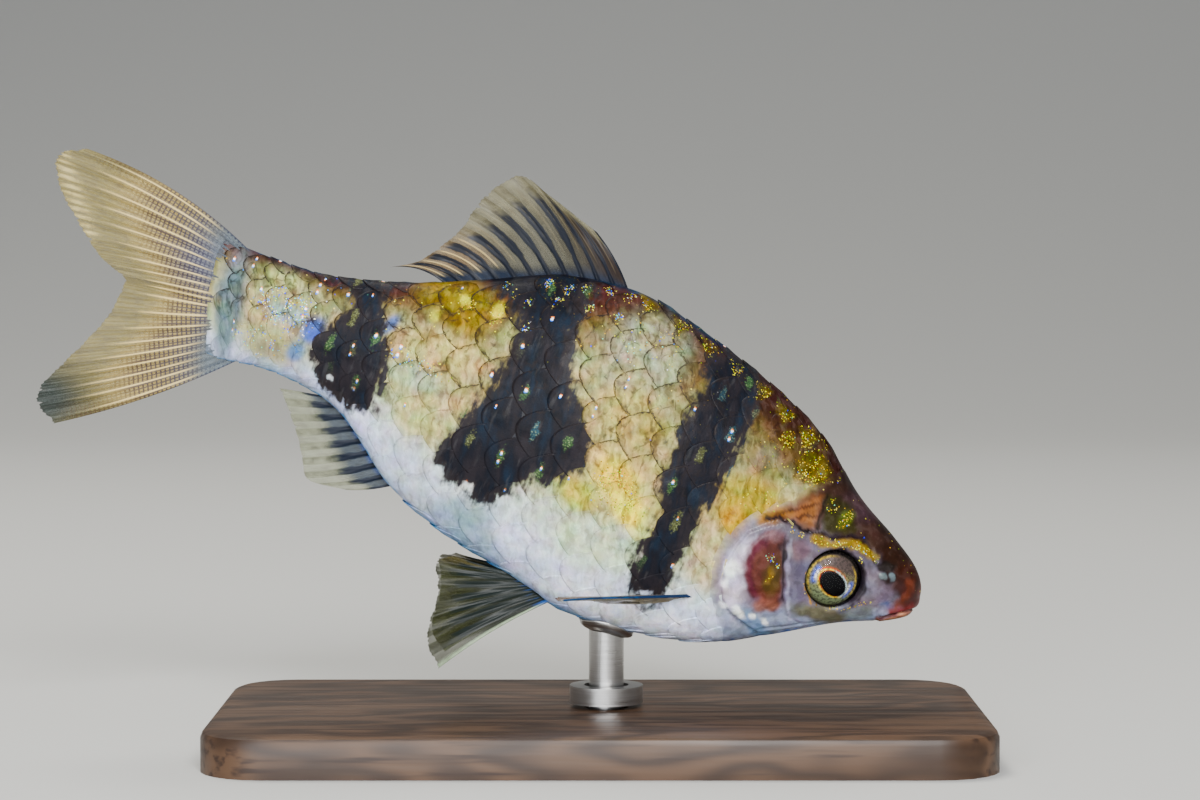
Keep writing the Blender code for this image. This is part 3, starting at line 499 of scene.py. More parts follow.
def unsteady(x, z):
    """The same places moved about a little, for the uneven edges of paint laid by hand."""
    across = np.sin(3.1 * x + 1.7 * z) + 0.7 * np.sin(5.3 * z - 4.4 * x + 1.1)
    across += 0.6 * np.sin(9.7 * x + 8.1 * z)
    up = np.sin(2.7 * z - 3.3 * x + 2.0) + 0.7 * np.sin(6.1 * x + 4.9 * z)
    up += 0.6 * np.sin(8.9 * z - 9.3 * x)
    return x + 0.06 * across, z + 0.06 * up


def gill_paint(head, x, z):
    """The gill cover: painted highlights on its white margin, a dark red plate, and the groove before it."""
    plate = patch(x, z, GILL_PLATE, 0.35)
    margin = patch(x, z, GILL_COVER, 0.5) * fade(-x, 10.0, 11.2) * fade(z, -0.2, -1.4)
    head = lay(head, 1.15 * colour("dcd4e2"), 0.9 * margin)
    # painted highlights: white spots brighter than the margin's paint, as light catching the gill cover
    for centre, radii, turn in MARGIN_HIGHLIGHTS:
        head = lay(head, 1.3 * colour("ffffff"), dab(x, z, centre, radii, turn, 0.8) * (1 - plate))
    head = lay(head, "623c36", plate)
    head = lay(head, "582c36", plate * fade(stroke(x, z, GILL_PLATE[2:7], 1.7), 0.0, 0.7))
    head = lay(head, "5e4a30", plate * dab(x, z, (-9.4, -2.5), (0.9, 1.9), 12))
    head = dabbed(head, x, z, GILL_SPOTS)
    head = lay(head, "2a2028", 0.8 * stroke(x, z, CHEEK_EDGE[1:5], 0.28))
    head = lay(head, "9c7c14", 0.8 * spot(x, z, (-9.6, -2.4), (0.3, 0.8), 10))
    return lay(head, "c8c4dc", 0.6 * stroke(x - 0.35, z, CHEEK_EDGE, 0.4))


def skin_paint(x, z):
    """Colours of the bare skin: the head's own, running into the flank's where the scales begin."""
    x, z = unsteady(x, z)
    share = depth_share(x, z)
    head = lay("88808c", "47332d", fade(share, 0.58, 0.76))
    head = lay(head, "2a1a16", fade(share, 0.86, 0.99))
    head = lay(head, "b2bacf", 1 - fade(share, 0.06, 0.24))
    head = dabbed(head, x, z, HEAD_SPOTS)
    head = gill_paint(head, x, z)
    orange = patch(x, z, ORANGE_PATCH, 0.4)
    head = lay(head, lay("b07a58", "a07030", fade(-x, 8.9, 10.4)), 0.95 * orange)
    for outline in ORANGE_LINES:
        head = lay(head, "38180c", 0.75 * orange * fade(stroke(x, z, outline, 0.34), 0.0, 0.7))
    head = lay(head, "3c3820", 0.95 * patch(x, z, OLIVE_PATCH, 0.25))
    head = lay(head, "5c641c", 0.9 * dab(x, z, (-6.4, 2.4), (0.6, 1.0), -15))
    head = lined(head, x, z, BROW_LINES)
    around_eye = np.hypot(x - EYE_X, z - EYE_Z)
    ahead = np.degrees(np.arctan2(z - EYE_Z, x - EYE_X))
    shadow = fade(np.abs(ahead - 35), 120, 60) * (1 - fade(around_eye, ORBIT_RADIUS, ORBIT_RADIUS + 0.22))
    head = lay(head, "1c141c", 0.9 * shadow)
    head = lined(head, x, z, LIP_LINES)
    head = lay(head, "586688", 0.75 * spot(x, z, (-2.0, -1.6), (0.6, 0.4), 12))
    # painted shade round the nostrils and their pit
    head = dabbed(head, x, z, NOSTRIL_SHADE, 0.6)
    for place in NOSTRILS:
        head = lay(head, "8c989e", dab(x, z, place, (0.32, 0.34), soft=0.5))
    head = lay(head, "1e6ab4", 0.9 * (1 - fade(share, 0.004, 0.022)) * fade(-x, 1.0, 3.0))
    head *= (1 - 0.42 * fade(share, 0.12, 0.4) * (1 - fade(-x, 9.6, 11.8)))[..., None]
    flank = lay(flank_paint(x, z), "14141b", fade(bars(x, z), -0.1, 0.25))
    return lay(head, flank, np.maximum(coat_share(x, z), fade(-x, 30.0, 34.0)))


class Shade:
    """A number, place or colour that changes over a surface. Sums of it add maths nodes to its material;
    a sum with a place, a colour or a triple is done part by part."""

    def __init__(self, socket):
        self.socket, self.tree = socket, socket.id_data

    def maths(self, operation, *others):
        terms = (self, *others)
        triples = [term for term in terms if isinstance(term, tuple)]
        wide = triples or any(isinstance(term, Shade) and term.socket.type != "VALUE" for term in terms)
        return put(self.tree, "VectorMath" if wide else "Math", dict(enumerate(terms)), operation=operation)

    def __add__(self, other):
        return self.maths("ADD", other)

    def __sub__(self, other):
        return self.maths("SUBTRACT", other)

    def __rsub__(self, other):
        return self.maths("MULTIPLY_ADD", -1.0, other)

    def __mul__(self, other):
        return self.maths("MULTIPLY", other)

    def __truediv__(self, other):
        return self.maths("DIVIDE", other)

    def __abs__(self):
        return self.maths("ABSOLUTE")


def plug(sockets, values):
    """Sets sockets to plain values, or joins them to what changes over the surface."""
    for key, value in values.items():
        if isinstance(value, Shade):
            value.tree.links.new(value.socket, sockets[key])
        else:
            sockets[key].default_value = value


def put(tree, kind, inputs=(), output=0, **settings):
    """Adds a shader node and gives one of its outputs."""
    node = tree.nodes.new("ShaderNode" + kind)
    for key, value in settings.items():
        setattr(node, key, value)
    plug(node.inputs, dict(inputs))
    return Shade(node.outputs[output])


def parts(value, kind):
    """The three numbers of a colour or a place."""
    return [Shade(part) for part in put(value.tree, "Separate" + kind, {0: value}).socket.node.outputs]


def step(value, low, high):
    """A soft step of a value from 0 at low to 1 at high."""
    ranges = {"Value": value, "From Min": low, "From Max": high}
    return put(value.tree, "MapRange", ranges, interpolation_type="SMOOTHSTEP")


def blend(amount, under, over):
    """One value or colour laid over another."""
    if isinstance(under, Shade) and under.socket.type == "VALUE":
        return put(amount.tree, "Mix", {0: amount, 2: under, 3: over})
    return put(amount.tree, "Mix", {0: amount, 6: under, 7: over}, 2, data_type="RGBA")


def facts(tree, *names):
    """Values that are kept at each point of the mesh."""
    kinds = {"place": "Vector", "local": "Vector", "iris": "Vector", "paint": "Color", "paint_dark": "Color"}
    return [put(tree, "Attribute", output=kinds.get(name, "Fac"), attribute_name=name) for name in names]


def noise(place, size, detail=3.0, output="Fac"):
    """Soft noise whose lumps are about that many millimetres across."""
    return put(place.tree, "TexNoise", {"Vector": place, "Scale": 1 / size, "Detail": detail}, output)


def rotated(place, angle):
    """A place turned in the side view."""
    return put(place.tree, "VectorRotate", {0: place, "Angle": angle}, rotation_type="Y_AXIS")


def bump(height, distance, strength):
    """Fine relief, its depth in metres."""
    return put(height.tree, "Bump", {"Height": height, "Distance": distance, "Strength": strength})


def ramp(value, codes):
    """One of several even steps of colour."""
    picked = put(value.tree, "ValToRGB", {0: value})
    steps = picked.socket.node.color_ramp
    steps.interpolation = "CONSTANT"
    while len(steps.elements) < len(codes):
        steps.elements.new(0.5)
    for k, (element, code) in enumerate(zip(steps.elements, codes)):
        element.position = k / len(codes)
        element.color = (*colour(code), 1)
    return picked


def effect(name, inputs, outputs):
    """A new shader node group, its inputs, and the sockets that its results are plugged into."""
    tree = bpy.data.node_groups.new(name, "ShaderNodeTree")
    for way, sockets in (("INPUT", inputs), ("OUTPUT", outputs)):
        for label, kind in sockets.items():
            tree.interface.new_socket(label, in_out=way, socket_type="NodeSocket" + kind)
    given = tree.nodes.new("NodeGroupInput").outputs
    return tree, [Shade(given[label]) for label in inputs], tree.nodes.new("NodeGroupOutput").inputs


def use(tree, group, inputs):
    """Places an effect in a material and gives its results."""
    node = tree.nodes.new("ShaderNodeGroup")
    node.node_tree = group
    plug(node.inputs, inputs)
    return [Shade(socket) for socket in node.outputs]


def new_material(name, **constants):
    """A material with its shader's constant values set; gives the material, its tree and the shader's
    inputs."""
    made = bpy.data.materials.new(name)
    made.use_nodes = True
    shader = made.node_tree.nodes["Principled BSDF"].inputs
    plug(shader, {key.replace("_", " "): value for key, value in constants.items()})
    return made, made.node_tree, shader


def foil_effect():
    """Paint over crinkled foil: lumps and upright streaks of light and shade, and a tint that wanders."""
    tree, (place, paint, strength, upright), results = effect(
        "crinkled foil", {"Place": "Vector", "Paint": "Color", "Strength": "Float", "Streaks": "Float"},
        {"Colour": "Color", "Height": "Float"})
    wavy = noise(place, 0.7, 2.0, "Color") * (0.8, 0.8, 0.8) + place
    streaks = noise(rotated(wavy, NOSE_DOWN) * (4.5, 1.0, 0.9), 1.1, 4.0)
    light = blend(upright, noise(wavy, 0.6, 4.0), streaks)
    hues = noise(place, 1.0, 3.0, "Color") * (1.2, 1.0, 1.5) + (0.4, 0.5, 0.25)
    tinted = blend(strength, paint, paint * hues)
    painted = blend(step(light, 0.5, 0.38) * strength, tinted, tinted * (0.4, 0.35, 0.33))
    lit = tinted * (1.5, 1.5, 1.5) + (0.015, 0.015, 0.015)
    plug(results, {"Colour": blend(step(light, 0.5, 0.6) * strength, painted, lit), "Height": light})
    return tree


def fleck_effect():
    """Bright specks of mirror pigment, scattered in clusters: gold ones, and white to blue ones where it
    is cool."""
    tree, (place, amount, cool, size), results = effect(
        "mirror flecks", {"Place": "Vector", "Amount": "Float", "Cool": "Float", "Size": "Float"},
        {"Mask": "Float", "Colour": "Color"})
    scale = put(tree, "Math", {0: 1.0, 1: size}, operation="DIVIDE")
    cells = put(tree, "TexVoronoi", {"Vector": place, "Scale": scale}, "Distance")
    luck = parts(Shade(cells.socket.node.outputs["Color"]), "Color")
    clusters = step(noise(place, 0.7, 2.0), 0.4, 0.62)
    chosen = luck[0].maths("LESS_THAN", amount * (clusters * 0.75 + 0.25))
    golds = ramp(luck[1], ("9c7c10", "e4bc10", "f8f850", "8ca018", "fff0a0"))
    cools = ramp(luck[1], ("ffffff", "86b4ff", "2f6cff", "b4ffd8", "fff0a0"))
    tint = blend(luck[2].maths("LESS_THAN", cool), golds, cools)
    plug(results, {"Mask": chosen * step(cells, 0.6, 0.35), "Colour": tint})
    return tree


FOIL = foil_effect()
FLECKS = fleck_effect()
FLECK_SIZE = 0.1


# Where the mirror flecks lie thickest: (share of the skin, centre, radii, turn)
GOLD_SPOTS = [
    (0.9, (-6.4, 2.4), (0.55, 0.95), -15),
    (0.45, (-7.5, 2.9), (0.7, 0.7), 0),
    (0.9, (-9.96, -1.41), (0.45, 0.45), 0),
    (0.7, (-9.37, -1.7), (0.25, 0.3), 0),
    (0.5, (-9.55, -2.5), (0.3, 0.9), 10),
    (0.8, (-9.5, 0.65), (0.5, 0.3), -20),
    (0.8, (-8.64, 0.57), (0.3, 0.25), 0),
    (0.5, (-4.6, 0.45), (0.4, 0.25), -40),
    (0.16, (-12.0, 1.6), (1.8, 1.2), 15),
    (0.12, (-12.4, 4.6), (2.4, 1.6), 0),
    (0.9, (-20.2, -1.0), (2.6, 1.7), -30),
    (0.5, (-43.4, 1.4), (3.2, 1.9), 0),
    (0.35, (-44.5, -1.2), (2.6, 1.2), 0),
    (0.45, (-34.4, 1.5), (3.4, 0.9), 0),
    (0.7, (-33.2, 6.1), (0.9, 0.7), 0),
    (0.6, (-31.1, 6.2), (0.7, 1.2), 0),
    (0.15, (-22.0, 8.2), (3.6, 1.8), 0),
]

# The silvery windows along the foot of the dorsal fin
BACK_WINDOWS = [(-31.2, 8.0), (-30.5, 7.8), (-29.6, 7.5), (-29.1, 6.1), (-28.8, 9.1), (-27.9, 8.2),
                (-27.5, 9.2), (-26.6, 9.6), (-25.2, 10.1), (-23.9, 10.2), (-25.9, 8.6), (-24.0, 8.8)]
COOL_SPOTS = [((-9.95, -1.4), (0.8, 0.8)), ((-35.4, 1.2), (3.4, 1.4)), ((-22.0, 7.0), (4.0, 4.0))]


def gold_share(x, z):
    """How thickly the mirror flecks lie."""
    gold = 0.012 * fade(depth_share(x, z), 0.5, 0.85)
    for amount, centre, radii, turn in GOLD_SPOTS:
        gold = np.maximum(gold, amount * dab(x, z, centre, radii, turn, 0.6))
    for centre in BACK_WINDOWS:
        gold = np.maximum(gold, 0.9 * dab(x, z, centre, (0.4, 0.62), -22, 0.5))
    band = fade(stroke(x, z, EYE_BAND, 0.75), 0.0, 0.5)
    return np.maximum.reduce([gold, 0.85 * ridge_gold(x, z), 0.9 * band, 0.5 * stroke(x, z, EYE_SPECKS, 0.4)])


def cool_share(x, z):
    """What part of the flecks is white to blue."""
    cool = 0.05 + 0.8 * fade(-x, 38.0, 41.0)
    for centre, radii in COOL_SPOTS:
        cool = np.maximum(cool, 0.7 * spot(x, z, centre, radii))
    for centre in BACK_WINDOWS:
        cool = np.maximum(cool, 0.55 * dab(x, z, centre, (0.5, 0.7), -22, 0.5))
    return cool


def skin_material():
    """Cast resin, painted and flecked, under a wet-looking lacquer."""
    gloss = {"Coat_Roughness": 0.15, "Coat_Weight": 0.06, "Specular_IOR_Level": 0.18}
    made, tree, shader = new_material("painted_skin", **gloss)
    place, paint, gold, cool = facts(tree, "place", "paint", "gold", "cool")
    fleck, tint = use(tree, FLECKS, {"Place": place, "Amount": gold, "Cool": cool, "Size": FLECK_SIZE})
    foil, height = use(tree, FOIL, {"Place": place, "Paint": paint, "Strength": 0.4, "Streaks": 0.1})
    plug(shader, {"Base Color": blend(fleck, foil, tint), "Metallic": fleck * 0.4 + 0.05,
                  "Roughness": height * 0.3 + 0.25, "Normal": bump(height + fleck, 0.00003, 0.6)})
    return made


def make_skin():
    head = HEAD_REACH * np.linspace(0, 1, HEAD_STATIONS + 1)[1:] ** 1.35
    back = np.linspace(HEAD_REACH, SKIN_END, BACK_STATIONS + 1)[1:]
    stations = np.concatenate((head, back))[:, None]
    turn = np.linspace(0, 2 * np.pi, SKIN_SIDES, endpoint=False)
    angle = (turn + 0.18 * np.sin(2 * turn))[None, :]
    places = body(stations, angle)
    x, z = places[..., 0], places[..., 2]
    relief = head_relief(places) * (1 - fade(-x, 13.0, HEAD_REACH)) - COAT_DEPTH * coat_share(x, z)
    points = places + body_normal(stations, angle) * relief[..., None]
    points = drawn_to_tail(points, np.where(stations > HEAD_REACH, stations, -points[..., 0]))
    nose = body(0.0, 0.0)[None, :] + np.array((0.02, 0, 0))
    last = len(stations) * SKIN_SIDES
    faces = [(last, (k + 1) % SKIN_SIDES, k) for k in range(SKIN_SIDES)]
    faces += lattice(len(stations), SKIN_SIDES, closed=True)
    faces.append(tuple(range(last - SKIN_SIDES, last)))
    points, places = (np.concatenate((some.reshape(-1, 3), nose)) for some in (points, places))
    x, z = places[:, 0], places[:, 2]
    gold = gold_share(x, z) * (1 - 0.7 * coat_share(x, z))
    facts_of_skin = {"place": places, "paint": skin_paint(x, z), "gold": gold, "cool": cool_share(x, z)}
    skin = new_piece("skin", to_frame(points), faces, facts_of_skin)
    skin.data.materials.append(skin_material())
    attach(skin, "root")
    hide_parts("head", "torso", "tail_stalk", "gill_cover_left", "gill_cover_right")


make_skin()

# Scales
# Thin overlapping plates in rows from gill to tail, each set into the skin at its front and free along its
# rounded rear edge. They are pressed from clear film, tinted from behind, and laid from the tail forwards.
ROW_SPACING = [(0, 1.9), (12, 2.15), (20, 2.35), (30, 2.3), (38, 1.8), (47.6, 1.45)]
FIRST_ROW_HEIGHT = 0.35
ROWS_EACH_WAY = 6
# From one plate to the next in its row, as a share of the row spacing, as the next three are
PITCH_SHARE = 0.96
PLATE_LENGTH = 1.3
PLATE_HALF_HEIGHT = 0.72
EDGE_DROP = 0.714
END_LENGTH = 0.3
PLATE_RISE = 0.09
PLATE_CROWN = 0.02
PLATE_THICKNESS = 0.05
DROP_PLACE = 1.0  # the small rise on each plate, from its rear edge
DROP_HEIGHT = 0.045
PLATE_GRID = (17, 16)  # points across and along
FLANK_STATIONS = 240
FLANK_STEPS = 401
MAP_SIZE = 50.0  # millimetres of skin across the flat map
MAP_MIDDLE = 14.0  # where the first row lies on it
PATCH_SHARE = 0.6


def flank_table():
    """For stations along the body, how far it is round the flank from the first row up to the back and
    down to the belly line, and the angle at even shares of that way."""
    x = np.linspace(4, BODY_LENGTH, FLANK_STATIONS)
    angle = np.linspace(0, np.pi, 721)
    points = body(x[:, None], angle[None, :])
    pieces = np.linalg.norm(np.diff(points, axis=1), axis=-1)
    arc = np.concatenate((np.zeros((len(x), 1)), np.cumsum(pieces, axis=1)), axis=1)
    ups, downs, table = [], [], []
    shares = np.linspace(-1, 1, FLANK_STEPS)
    for at, lengths in zip(x, arc):
        up = np.interp(flank_angle(at, FIRST_ROW_HEIGHT), angle, lengths)
        down = lengths[-1] - up
        ups.append(up)
        downs.append(down)
        table.append(np.interp(up - shares * np.where(shares > 0, up, down), lengths, angle))
    return x, np.array(ups), np.array(downs), np.array(table)


FLANK_X, FLANK_UP, FLANK_DOWN, FLANK_ANGLES = flank_table()


def room_above(x):
    return np.interp(x, FLANK_X, FLANK_UP)


def room_below(x):
    return np.interp(x, FLANK_X, FLANK_DOWN)


def angle_round(x, way):
    """The angle at a way round the flank from the first row, up being plus. Past a midline it runs on
    down the other side."""
    share = way / np.where(way > 0, room_above(x), room_below(x))
    over, under = share > 1, share < -1
    share = np.where(over, 2 - share, np.where(under, -2 - share, share))
    row = np.clip((x - FLANK_X[0]) / (FLANK_X[-1] - FLANK_X[0]), 0, 1) * (FLANK_STATIONS - 1)
    column = np.clip((share + 1) / 2, 0, 1) * (FLANK_STEPS - 1)
    i, k = np.minimum(row.astype(int), FLANK_STATIONS - 2), np.minimum(column.astype(int), FLANK_STEPS - 2)
    a, b = row - i, column - k
    low = FLANK_ANGLES[i, k] * (1 - b) + FLANK_ANGLES[i, k + 1] * b
    high = FLANK_ANGLES[i + 1, k] * (1 - b) + FLANK_ANGLES[i + 1, k + 1] * b
    angle = low * (1 - a) + high * a
    return np.where(over, -angle, np.where(under, 2 * np.pi - angle, angle))


def plate_places():
    """Where the plates' rear edges are: (behind the snout, row number) for one flank."""
    halves = [6.0]
    while halves[-1] < BODY_LENGTH + 0.4:
        halves.append(halves[-1] + PITCH_SHARE / 2 * smooth(ROW_SPACING, halves[-1]))
    places = []
    for row in range(-ROWS_EACH_WAY, ROWS_EACH_WAY + 1):
        for x in halves[row % 2 :: 2]:
            spacing = smooth(ROW_SPACING, x)
            way, margin = row * spacing, 0.12 * spacing
            if not margin - room_below(x) < way < room_above(x) - margin:
                continue
            front = x - 0.3 * PLATE_LENGTH * spacing
            height = body(front, angle_round(np.array(front), np.array(way)))[2]
            if coat_share(-front, height) > 0:
                places.append((x, row))
    return np.array(places)


def border(rows, columns):
    """The points round the edge of a lattice, in order."""
    way = [(0, k) for k in range(columns)] + [(i, columns - 1) for i in range(1, rows)]
    way += [(rows - 1, k) for k in range(columns - 2, -1, -1)] + [(i, 0) for i in range(rows - 2, 0, -1)]
    return [i * columns + k for i, k in way]


def plate_template():
    """One plate: its points as shares across and along, which are on its underside, its faces, and the
    fan of faces that closes it below."""
    n_across, n_along = PLATE_GRID
    rim = border(n_across, n_along)
    top, count = n_across * n_along, len(rim)
    after = [(k + 1) % count for k in range(count)]
    wall = [(rim[k], top + k, top + after[k], rim[after[k]]) for k in range(count)]
    fan = [(top + count, top + after[k], top + k) for k in range(count)]
    across = np.repeat(np.linspace(-1, 1, n_across), n_along)
    along = np.tile(np.linspace(0, 1, n_along) ** 0.85, n_across)
    across = np.concatenate((across, across[rim], [0.0]))
    along = np.concatenate((along, along[rim], [0.5]))
    return across, along, np.arange(len(across)) >= top, lattice(n_across, n_along) + wall, fan


def kept_on_flank(x, way):
    """Draws back what would run past the back or the belly line."""
    above, below = room_above(x) - way, room_below(x) + way
    way = way + 0.5 * (above - np.sqrt(above**2 + 0.1))
    return way - 0.5 * (below - np.sqrt(below**2 + 0.1))


def make_plates(name, centres, rows, ridge_way=None, side=1, seed=1):
    """One joined piece of many plates. Rows are numbered up from the first; a ridge row follows a midline
    instead."""
    chance = np.random.default_rng(seed)
    count = len(centres)
    across, along, below, quads, fan = plate_template()
    centres, rows = centres[:, None], rows[:, None]
    luck = chance.random((count, 1))
    spacing = smooth(ROW_SPACING, centres)
    size = spacing * (1 + 0.05 * (chance.random((count, 1)) - 0.5))
    edge = -EDGE_DROP * across**2
    root = -PLATE_LENGTH + (PLATE_LENGTH - END_LENGTH - EDGE_DROP) * across**2
    level_back, level_up = size * (root + along * (edge - root)), size * PLATE_HALF_HEIGHT * across
    turn = 0.10 * (chance.random((count, 1)) - 0.5)
    back, up = level_back + level_up * turn, level_up - level_back * turn
    x = centres + back
    if ridge_way is None:
        way = kept_on_flank(x, rows * smooth(ROW_SPACING, x) + up)
    else:
        way = (room_above(x) if ridge_way > 0 else room_below(x)) * ridge_way + up
    angle = side * angle_round(x, way)
    share = size / 2.35
    lift = share * (PLATE_RISE * along - 0.015) - COAT_DEPTH - 0.012 * fade(along, 0.93, 1.0)
    lift += share * PLATE_CROWN * (1 - across**2) * (1 - (2 * along - 1) ** 2)
    lift += 0.02 * (luck - 0.5) + (0.05 * along if ridge_way else 0.0)
    steep = 2 * EDGE_DROP / PLATE_HALF_HEIGHT * across
    from_rim = (1 - along) * size * (edge - root) / np.sqrt(1 + steep**2)
    centre = hump(from_rim, DROP_PLACE, 0.3) * hump(across, 0.0, 0.22)
    lift += DROP_HEIGHT * centre
    if ridge_way is None:
        lift += 0.05 * (rows == 0) * hump(across, 0.0, 0.2) * fade(along, 0.3, 0.5) * fade(along, 0.98, 0.85)
    lift -= PLATE_THICKNESS * below
    bare = body(x, angle)
    points = drawn_to_tail(bare + body_normal(x, angle) * lift[..., None], x)
    bare_x, bare_z = bare[..., 0], bare[..., 2]
    in_middle = PLATE_GRID[0] // 2 * PLATE_GRID[1] + PLATE_GRID[1] // 2
    middle = body(centres - 0.45 * spacing, angle[:, [in_middle]])
    middle_x, middle_z = middle[..., 0], middle[..., 2]
    height = depth_share(bare_x, bare_z)
    black = 0.85 * bars(bare_x, bare_z) + 0.15 * bars(middle_x, middle_z) + 0.12 * (luck - 0.5)
    facts_of_plates = {
        "place": bare,
        "paint": lay(flank_paint(bare_x, bare_z), flank_paint(middle_x, middle_z), 0.2),
        "bar": black - 1.1 * centre * fade(height, 0.42, 0.2),
        "gold": 0.2 * gold_share(middle_x, middle_z) + 0.8 * gold_share(bare_x, bare_z),
        "cool": cool_share(bare_x, bare_z),
        "rim": from_rim,
        "upper": fade(height, 0.18, 0.36),
        "local": np.stack((back + DROP_PLACE, up, 0 * x), axis=-1),
        "luck": luck + 0 * x,
        "outline": (0.2 + 0.8 * fade(height, 0.3, 0.6)) * (0.2 + 0.8 * fade(-bare_x, 14.0, 16.0)),
    }
    row_way = MAP_MIDDLE + (rows * spacing if ridge_way is None else 2.0 * ridge_way + 0 * spacing)
    flat_x = centres + PATCH_SHARE * level_back - PITCH_SHARE / 4 * spacing
    flat_y = row_way + PATCH_SHARE * level_up * (1 + 0.06 * below)
    flat = np.stack((flat_x, flat_y), axis=-1)
    spare = np.stack((centres - 0.55 * spacing, row_way + 0.47 * spacing), axis=-1)
    quads, fan = ([face[::side] for face in some] for some in (quads, fan))
    fans = spare + 0.04 * (flat[:, np.concatenate(fan)] - flat.mean(axis=1, keepdims=True))
    flat_map = np.concatenate((flat[:, np.concatenate(quads)], fans), axis=1) / MAP_SIZE
    starts = range(0, count * len(across), len(across))
    faces = [tuple(start + point for point in face) for start in starts for face in quads + fan]
    piece = new_piece(name, to_frame(points), faces, facts_of_plates, flat_map)
    piece.data.materials.append(SCALE_MATERIAL)
    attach(piece, "root")


def join(x, y):
    """A place from two values."""
    return put(x.tree, "CombineXYZ", {0: x, 1: y})


def from_origin(x, y):
    return put(x.tree, "VectorMath", {0: join(x, y)}, "Value", operation="LENGTH")


# A painted glint is white with a red and a blue edge: (how far each is moved down, its colour)
GLINT_TINTS = [(-0.08, (0.95, 0.22, 0.02, 1)), (0.08, (0.02, 0.2, 0.95, 1)), (0.0, (1.0, 1.0, 1.0, 1))]


def scale_material():
    """Tinted foil: thin wavy dark outlines, bars with ragged edges, and on most scales a small painted glint
    or a green window."""
    gloss = {"Coat_Roughness": 0.15, "Coat_Weight": 0.02, "Specular_IOR_Level": 0.04}
    made, tree, shader = new_material("scales", **gloss)
    place, paint, bar, rim, luck = facts(tree, "place", "paint", "bar", "rim", "luck")
    upper, outlined, gold, cool, local = facts(tree, "upper", "outline", "gold", "cool", "local")
    strength = upper * 0.35 + 0.4
    foil, height = use(tree, FOIL, {"Place": place, "Paint": paint, "Strength": strength, "Streaks": 0.5})
    coarse, fine, clouds = noise(place, 0.45, 5.0), noise(place, 0.12), noise(place, 1.1)
    fingers = noise(place * (2.2, 1.0, 0.5), 0.9, 4.0)
    bands = noise(rotated(place, 0.25) * (1.5, 1.0, 0.45), 1.1, 4.0)
    ragged = (coarse - 0.5) * 1.1 + (fingers - 0.5) * 1.9 + bar
    dark = step(ragged, -0.42, 0.3)
    black = blend(step(ragged, 1.0, 0.1) * 0.8, (0.0075, 0.008, 0.012, 1), (0.026, 0.02, 0.02, 1))
    black = blend(step(bands, 0.56, 0.3) * 0.7, black, (0.02, 0.016, 0.019, 1))
    black = blend(step(bands, 0.48, 0.78) * 0.8, black, (0.008, 0.017, 0.032, 1))
    black = blend(step(fingers, 0.58, 0.74) * 0.35, black, (0.06, 0.058, 0.06, 1))
    # painted shade: each scale is darker towards its rear edge, so that it looks rounded
    rim_shade = step(coarse * 0.6 + rim, 0.95, 0.25) * outlined
    painted = blend(dark, blend(rim_shade * 0.75, foil, foil * (0.5, 0.47, 0.4)), black)
    wavy = abs((coarse - 0.5) * 0.7 + fine * 0.16 + rim - 0.12)
    bent = (noise(place, 1.2, 3.0, "Color") * (1.2, 1.2, 1.2) + place) * (1.0, 1.0, 0.5)
    creases = put(tree, "TexVoronoi", {"Vector": bent, "Scale": 0.8}, "Distance", feature="DISTANCE_TO_EDGE")
    creases = step(creases, 0.05, 0.015) * step(coarse, 0.42, 0.6) * 0.7
    outline = (step(wavy, 0.075, 0.02) * step(clouds, 0.3, 0.48)).maths("MAXIMUM", creases) * outlined
    patches = step(clouds, 0.5, 0.36) * outlined * 0.6
    painted = blend(patches, painted, painted * (0.58, 0.54, 0.44))
    painted = blend(outline * 0.85, painted, (0.016, 0.012, 0.012, 1))
    other_luck, chance = (luck * 7.3).maths("FRACT"), (luck * 23.7).maths("FRACT")
    back, up, _ = parts(local, "XYZ")
    behind, above = luck * 0.6 - 0.3 + back, other_luck - 0.5 + up
    oval = from_origin(behind / 0.24, above / 0.56) + (fine - 0.5) * 2.0 + (coarse - 0.5) * 2.5
    window = step(oval, 1.2, 0.5) * step(luck, 0.1, 0.55) * (dark * 0.6 + 0.2) * upper
    grains = noise(place, 0.09, 2.0)
    glass = ramp(other_luck, ("54563a", "3a5434", "35505a", "4c5448", "41603f"))
    glass = blend(step(grains, 0.52, 0.66) * 0.6, glass, (0.24, 0.28, 0.14, 1))
    glass = blend(step(grains, 0.48, 0.36) * 0.7, glass, (0.02, 0.02, 0.02, 1))
    painted = blend(window, painted, glass)
    # painted highlights: one or two white glints with red and blue edges on a share of the scales
    size = other_luck * 0.06 + 0.05 + (fine - 0.5) * 0.16
    glint = window * 0.5
    for rise, odds in ((0.25, dark * -0.2 + 0.7), (-0.3, 0.85)):
        glinting = chance.maths("GREATER_THAN", odds) * upper
        for shift, tint in GLINT_TINTS:
            here = step(from_origin(behind, above + (shift - rise)) / size, 1.15, 0.7) * glinting
            painted = blend(here, painted, tint)
        glint = glint.maths("MAXIMUM", here)
    fleck, tint = use(tree, FLECKS, {"Place": place, "Amount": gold, "Cool": cool, "Size": FLECK_SIZE})
    seen = fleck * (1 - dark * step(gold, 0.6, 0.4) * 0.9)
    bright = seen.maths("MAXIMUM", glint)
    plug(shader, {"Base Color": blend(seen, painted, tint), "Metallic": bright * 0.3 + 0.05,
                  "Roughness": coarse * 0.25 + 0.3,
                  "Normal": bump(height + (bright + fine) * 0.6, 0.00004, 0.7)})
    return made


